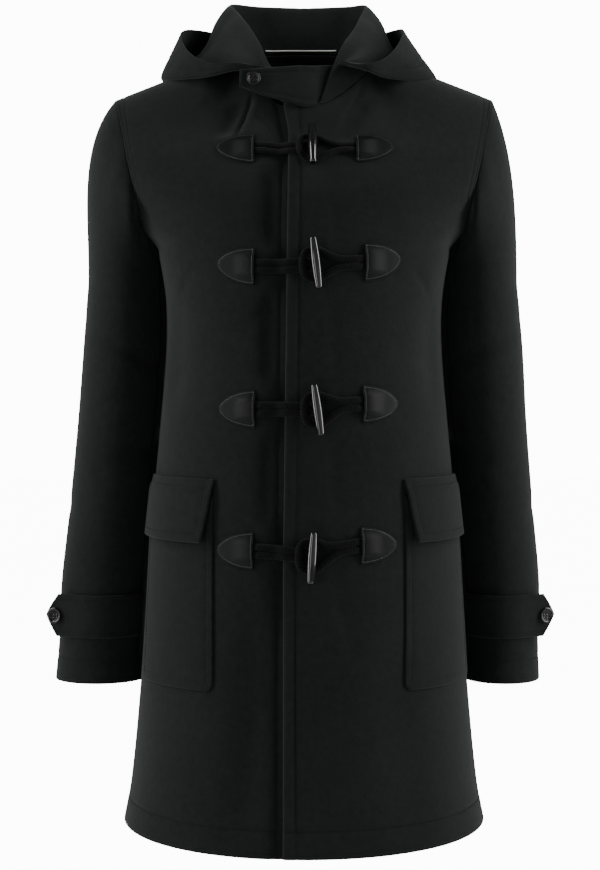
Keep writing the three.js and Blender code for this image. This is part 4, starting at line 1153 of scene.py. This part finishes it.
def patch(row, z, edge, way, word):
    lift = upright(z)

    def half_at(T):
        return PATCH_HIGH * np.power(np.maximum(1 - T * T, 0), PATCH_ARCH)

    def rim(T, C):
        return np.minimum(np.minimum(T, PATCH_TIP - T) * PATCH_LONG, (1 - np.abs(C)) * half_at(T))

    def height(T, C):
        across = np.abs(C * half_at(T))
        over_cords = PATCH_DOME * smooth(14.5, 7.5, across) * smooth(0.62, 0.12, T)
        swell = 1.1 * smooth(1, 0, T) * smooth(19, 6, across)
        edge = rim(T, C)
        return over_cords + swell - 0.5 * np.exp(-(((edge - PATCH_STITCH) / 0.7) ** 2)) * (edge > 0.3)

    def surface(T, C, off):
        return on_front(edge + way * PATCH_LONG * T, z + C * half_at(T) * lift, SEAM_GAP + LEATHER + off)

    long_shares = np.concatenate([[0, 0.01, 0.03], np.linspace(0.06, 0.97, 24), [0.985, PATCH_TIP]])
    across_shares = np.concatenate([[-1, -0.99, -0.96], np.linspace(-0.91, 0.91, 27), [0.96, 0.99, 1]])
    T, C = np.meshgrid(long_shares, across_shares)
    thick = rounded(rim(T, C), LEATHER)
    outer = surface(T, C, height(T, C) - LEATHER / 2 + thick)
    inner = surface(T, C, height(T, C) - LEATHER / 2 - thick)
    uv = np.stack([T * PATCH_LONG, C * half_at(T)], -1)
    obj = shell(f"leather patch {word} {row}", outer, inner, uv)
    near, far = PATCH_STITCH / PATCH_LONG, PATCH_TIP - PATCH_STITCH / PATCH_LONG
    along = mix(near, far, np.sin(np.linspace(0, math.pi / 2, 60)))
    side = 1 - PATCH_STITCH / half_at(along)
    ring = [(along, side), (np.full(8, far), np.linspace(side[-1], -side[-1], 8)),
            (along[::-1], -side[::-1]), (np.full(40, near), np.linspace(-side[0], side[0], 40))]
    sew("leather", surface, height, tuple(np.concatenate(parts) for parts in zip(*ring)))
    ride_and_replace(obj, f"patch_{word}_{row}", LEATHER_BLACK)


# Cords
def curve_through(points, t):
    points = np.asarray(points, float)
    last = len(points) - 1
    at = np.clip(t, 0, 1) * last
    i = np.minimum(at.astype(int), last - 1)
    x = (at - i)[:, None]
    p, q = points[i], points[i + 1]
    before, after = points[np.maximum(i - 1, 0)], points[np.minimum(i + 2, last)]
    slope_p = (q - before) / np.where(i > 0, 2, 1)[:, None]
    slope_q = (after - p) / np.where(i < last - 1, 2, 1)[:, None]
    return hermite(p, slope_p, q, slope_q, x)


def cord_tube(name, z, path, thickness):
    steps, sides = 150, 18
    t = np.linspace(0, 1, steps)
    line = curve_through(path, t)
    ahead, behind = np.minimum(t + 0.004, 1), np.maximum(t - 0.004, 0)
    along = curve_through(path, ahead) - curve_through(path, behind)
    length = np.hypot(along[:, 0], along[:, 1])
    side = np.stack([-along[:, 1] / length, along[:, 0] / length], -1)
    turn = np.linspace(0, 2 * math.pi, sides, endpoint=False)
    wide = (CORD_WIDE / 2) * np.cos(turn)[None, :]
    high = (thickness(line[:, 0]) / 2)[:, None] * np.sin(turn)[None, :]
    rings = on_front(line[:, 0:1] + side[:, 0:1] * wide,
                     z + (line[:, 1:2] + side[:, 1:2] * wide) * upright(z), line[:, 2:3] + high)
    travelled = np.concatenate([[0], np.cumsum(np.linalg.norm(np.diff(rings.mean(1), axis=0), axis=1))])
    uv = np.stack(np.broadcast_arrays(turn[None, :], travelled[:, None]), -1)
    return tube(name, rings, uv.reshape(-1, 2))


def loop_cord(row, f):
    sewn, free, left = f["left"] - 9, f["left"] + 6, f["left"]
    far = 8
    half = [
        (sewn, CORD_APART, CORD_SEWN), (left - 2, CORD_APART, CORD_SEWN + 0.1),
        *((x, CORD_APART, CORD_REST) for x in (free, -25, -9, far - 5)),
    ]
    whole = half + [(far, 0, CORD_REST)] + [(x, -a, up) for x, a, up in reversed(half)]
    path = [(x, a + 0.6 * f["up"] * float(smooth(left + 8, f["toggle"] - 8, x)), up)
            for x, a, up in whole]
    obj = cord_tube(f"loop cord {row}", f["z"], path,
                    lambda x: mix(CORD_FLAT, CORD_HIGH, smooth(left - 2, free, x)))
    ride_and_replace(obj, f"loop_cord_{row}", CORD)


def toggle_cord(row, f):
    right, toggle = f["right"], f["toggle"]
    shut = toggle - 13.5
    half = [
        (right + 9, CORD_APART, CORD_SEWN), (right + 2, CORD_APART, CORD_SEWN + 0.1),
        (right - 6, CORD_APART, CORD_REST), (toggle + 27, CORD_APART + 0.4, CORD_REST),
        (toggle + 15, 9, CORD_REST), (toggle + 4, 14.5, CORD_REST),
        (toggle - 6, 14.6, CORD_REST + 1.2), (shut + 1.6, 9.5, CORD_OVER - 0.5),
    ]
    whole = half + [(shut, 0, CORD_OVER)] + [(x, -a, up) for x, a, up in reversed(half)]
    path = [(x, a + mix(0.8 * f["up"], f["rise"], float(smooth(toggle + 2, right - 8, x))), up)
            for x, a, up in whole]
    obj = cord_tube(f"toggle cord {row}", f["z"], path,
                    lambda x: mix(CORD_HIGH, CORD_FLAT, smooth(right - 6, right + 2, x)))
    ride_and_replace(obj, f"toggle_cord_{row}", CORD)


def turned(name, profile, centre, axis, sides, dents=None):
    """A lathe form about axis. profile is (radius, height) pairs from one end of the axis to the other."""
    axis = unit(np.asarray(axis, float))
    first = unit(np.cross(axis, [0.0, 0.0, 1.0] if abs(axis[2]) < 0.9 else [1.0, 0.0, 0.0]))
    second = np.cross(axis, first)
    turn = np.linspace(0, 2 * math.pi, sides, endpoint=False)
    radius = np.array([p[0] for p in profile[1:-1]])[:, None]
    high = np.array([p[1] for p in profile[1:-1]])[:, None] + 0 * turn[None, :]
    x, y = radius * np.cos(turn), radius * np.sin(turn)
    if dents:
        high = high - dents(x, y, high)
    rings = centre + x[..., None] * first + y[..., None] * second + high[..., None] * axis
    ends = [centre + axis * profile[0][1], centre + axis * profile[-1][1]]
    rows = len(profile) - 2
    points = np.concatenate([rings.reshape(-1, 3), ends])
    uv = np.stack(np.broadcast_arrays(turn[None, :] * 5, high), -1).reshape(-1, 2)
    uv = np.concatenate([uv, [[0, profile[0][1]], [0, profile[-1][1]]]])
    index, beside, faces = ring_faces(rows, sides)
    faces += [[int(b), int(a), rows * sides] for a, b in zip(index[0], beside[0])]
    faces += [[int(a), int(b), rows * sides + 1] for a, b in zip(index[-1], beside[-1])]
    return make_mesh(name, points, faces, uv)


def toggle(row, f):
    rise = CORD_REST + CORD_HIGH / 2 + TOGGLE_MIDDLE + 0.5
    middle = f["z"] + f["up"]
    at = on_front(f["toggle"], middle, rise)
    ahead = unit(on_front(f["toggle"], middle + 10, rise) - at)
    tilt = math.radians(f["tilt"])
    axis = ahead * math.cos(tilt) + np.array([-math.sin(tilt), 0, 0])
    half = TOGGLE_LENGTH / 2
    body = [(mix(TOGGLE_MIDDLE, TOGGLE_END, abs(t) ** 1.7), t * (half - 1))
            for t in np.linspace(-1, 1, 33)]
    profile = [(0, -half), (TOGGLE_END * 0.6, -half), (TOGGLE_END - 0.6, -half + 0.2), *body,
               (TOGGLE_END - 0.6, half - 0.2), (TOGGLE_END * 0.6, half), (0, half)]
    obj = turned(f"toggle {row}", profile, at, axis, 28)
    ride_and_replace(obj, f"toggle_{row}", HORN)


def button(name, node_name, centre, axis, scale):
    radius, high = BUTTON_RADIUS * scale, BUTTON_HIGH * scale
    profile = [(0, 0), (radius * 0.5, 0), (radius * 0.82, 0)]
    profile += [(radius * 0.95, high * 0.2), (radius, high * 0.5)]
    profile += [(radius * (0.86 + 0.14 * math.cos(a)), high * (0.72 + 0.28 * math.sin(a)))
                for a in np.linspace(0, math.pi * 0.95, 12)]
    profile += [(radius * r, high * 0.5) for r in np.linspace(0.66, 0.06, 20)] + [(0, high * 0.5)]
    holes = [(radius * 0.2 * a, radius * 0.2 * b) for a in (-1, 1) for b in (-1, 1)]

    def dents(x, y, h):
        deep = np.zeros_like(x)
        for cx, cy in holes:
            inside = (radius * 0.15 - np.hypot(x - cx, y - cy)) / (radius * 0.05)
            deep = deep + high * 0.34 * smooth(0, 1, inside)
        return deep * (h > high * 0.3)

    obj = turned(name, profile, centre, axis, 56, dents)
    ride_and_replace(obj, node_name, RESIN)


def hanger_loop():
    steps, sides, radius = 60, 10, 0.7
    points = [(-43, 51.2, 14.6), (-34, 55.7, 15.2), (-12, 60.2, 16.2),
              (12, 60.2, 16.2), (28, 57.8, 15.8), (36, 55, 15.5)]
    line = curve_through(points, np.linspace(0, 1, steps))
    along = unit(np.gradient(line, axis=0))
    side = unit(np.cross(along, [0, 0, 1.0]))
    up = np.cross(side, along)
    turn = np.linspace(0, 2 * math.pi, sides, endpoint=False)[None, :, None]
    rings = line[:, None] + radius * (np.cos(turn) * side[:, None] + np.sin(turn) * up[:, None])
    obj = tube("hanger loop", rings, np.zeros((steps * sides, 2)))
    ride_and_replace(obj, "hanger_loop", TAPE)


# Stitches
def stitch_tree():
    """Threads laid end to end along lines, each a long bead that lies along its line."""
    tree = bpy.data.node_groups.new("stitches along lines", "GeometryNodeTree")
    face = tree.interface
    face.new_socket("Geometry", in_out="INPUT", socket_type="NodeSocketGeometry")
    for label in ("Pitch", "Length", "Thread"):
        face.new_socket(label, in_out="INPUT", socket_type="NodeSocketFloat")
    face.new_socket("Material", in_out="INPUT", socket_type="NodeSocketMaterial")
    face.new_socket("Geometry", in_out="OUTPUT", socket_type="NodeSocketGeometry")
    given = tree.nodes.new("NodeGroupInput").outputs
    curve = node(tree, "GeometryNodeMeshToCurve", Mesh=given["Geometry"])
    places = node(tree, "GeometryNodeCurveToPoints", {"mode": "LENGTH"},
                  Curve=curve.outputs[0], Length=given["Pitch"])
    bead = node(tree, "GeometryNodeMeshUVSphere", Segments=6, Rings=4, Radius=0.5)
    size = node(tree, "ShaderNodeCombineXYZ", X=given["Thread"], Y=given["Thread"], Z=given["Length"])
    beads = node(tree, "GeometryNodeInstanceOnPoints", Points=places.outputs["Points"],
                 Instance=bead.outputs["Mesh"], Rotation=places.outputs["Rotation"],
                 Scale=size.outputs[0])
    real = node(tree, "GeometryNodeRealizeInstances", Geometry=beads.outputs[0])
    done = node(tree, "GeometryNodeSetMaterial", Geometry=real.outputs[0], Material=given["Material"])
    tree.links.new(done.outputs[0], tree.nodes.new("NodeGroupOutput").inputs[0])
    return tree


STITCHES = stitch_tree()


def stitches(name, kind, material, pitch, length, thread):
    mesh = bpy.data.meshes.new(name)
    edges = []
    start = 0
    for line in SEWN[kind]:
        edges += [(start + i, start + i + 1) for i in range(len(line) - 1)]
        start += len(line)
    mesh.from_pydata((np.concatenate(SEWN[kind]) * MM).tolist(), edges, [])
    obj = placed(name, mesh)
    laid = obj.modifiers.new("stitches", "NODES")
    laid.node_group = STITCHES
    values = {"Pitch": pitch * MM, "Length": length * MM, "Thread": thread * MM, "Material": material}
    for socket in STITCHES.interface.items_tree:
        if socket.in_out == "INPUT" and socket.name in values:
            laid[socket.identifier] = values[socket.name]
    shown = obj.evaluated_get(bpy.context.evaluated_depsgraph_get())
    plain = bpy.data.meshes.new_from_object(shown)
    obj.modifiers.clear()
    obj.data = plain
    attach(obj, "root")


for side in (-1, 1):
    front_panel(side)
    sleeve_piece(side, "upper", FRONT_SEAM, 360 + BACK_SEAM)
    sleeve_piece(side, "under", BACK_SEAM, FRONT_SEAM)
    hood_half(side)
    pocket(side)
    flap(side)
    strap(side)
    place, facing = strap_button_place(side)
    button(f"cuff button {WORD[side]}", f"cuff_button_{WORD[side]}", place, facing, 1)
back_panel()
throat_tab()
at_button, facing = on_tab(*TAB_BUTTON, 0.0)
at_button = at_button + facing * (TAB_THICK + SEAM_GAP + 0.3)
button("throat button", "throat_button", at_button, facing, 0.85)
for row, f in enumerate(FASTENINGS, 1):
    patch(row, f["z"], f["left"], -1, "right")
    patch(row, f["z"] + f["rise"], f["right"], 1, "left")
    loop_cord(row, f)
    toggle_cord(row, f)
    toggle(row, f)
hanger_loop()
stitches("wool_stitching", "wool", THREAD, 3.8, 2.8, 0.65)
stitches("leather_stitching", "leather", LEATHER_THREAD, 2.7, 1.7, 0.7)

# Floor, light and camera
GROUND = -1.2  # the paper lies well below the hem
ground = bpy.data.meshes.new("ground")
corners = [(-9, -6), (9, -6), (9, 12), (-9, 12)]
ground.from_pydata([(x, y, GROUND) for x, y in corners], [], [(0, 1, 2, 3)])
floor = placed("floor", ground)
ground.materials.append(paper_material())

world = bpy.data.worlds.new("studio")
bpy.context.scene.world = world
world.use_nodes = True
sky = world.node_tree
backdrop = sky.nodes["Background"]
backdrop.inputs["Color"].default_value = (1, 1, 1, 1)
seen = node(sky, "ShaderNodeLightPath").outputs["Is Camera Ray"]
parts = node(sky, "ShaderNodeSeparateXYZ", Vector=node(sky, "ShaderNodeTexCoord").outputs["Generated"])
shade = node(sky, "ShaderNodeMapRange", Value=parts.outputs["Z"], From_Min=0.0, From_Max=0.9,
             To_Min=1.0, To_Max=0.25)
dimmed = maths(sky, "MULTIPLY", shade.outputs[0], WORLD_LIGHT)
glow = maths(sky, "MULTIPLY_ADD", seen, BACKDROP_SEEN, dimmed)
sky.links.new(glow, backdrop.inputs["Strength"])


def softbox(name, place, aim, size, watts):
    light = bpy.data.lights.new(name, "AREA")
    light.shape = "RECTANGLE"
    light.size, light.size_y = size
    light.energy = watts
    obj = placed(name, light)
    obj.location = place
    obj.rotation_euler = (Vector(aim) - Vector(place)).to_track_quat("-Z", "Y").to_euler()


softbox("front, wearer's right", (-1.5, -2.2, -0.4), (0, 0, -0.45), (0.9, 1.5), 17)
softbox("front, wearer's left", (1.7, -1.9, -0.4), (0, 0, -0.45), (0.6, 1.3), 2)
softbox("side, wearer's right", (-1.6, -0.35, 0.35), (0, 0, -0.1), (0.4, 2.6), 54)
softbox("side, wearer's left", (1.6, -0.35, 0.35), (0, 0, -0.1), (0.4, 2.6), 64)

CAMERA_FAR = 1.95
CAMERA_HIGH = -0.337
CAMERA_ASIDE = -0.0044
CAMERA_DOWN = 2.26  # degrees below level
PICTURE_TALL = 0.957  # what the picture's height shows, at the coat's own depth
SENSOR = 36
camera = bpy.data.cameras.new("camera")
camera.sensor_width = SENSOR
camera.lens = SENSOR * CAMERA_FAR / PICTURE_TALL
eye = placed("camera", camera)
eye.location = (CAMERA_ASIDE, -CAMERA_FAR, CAMERA_HIGH)
eye.rotation_euler = (math.radians(90 - CAMERA_DOWN), 0, 0)
bpy.context.scene.camera = eye
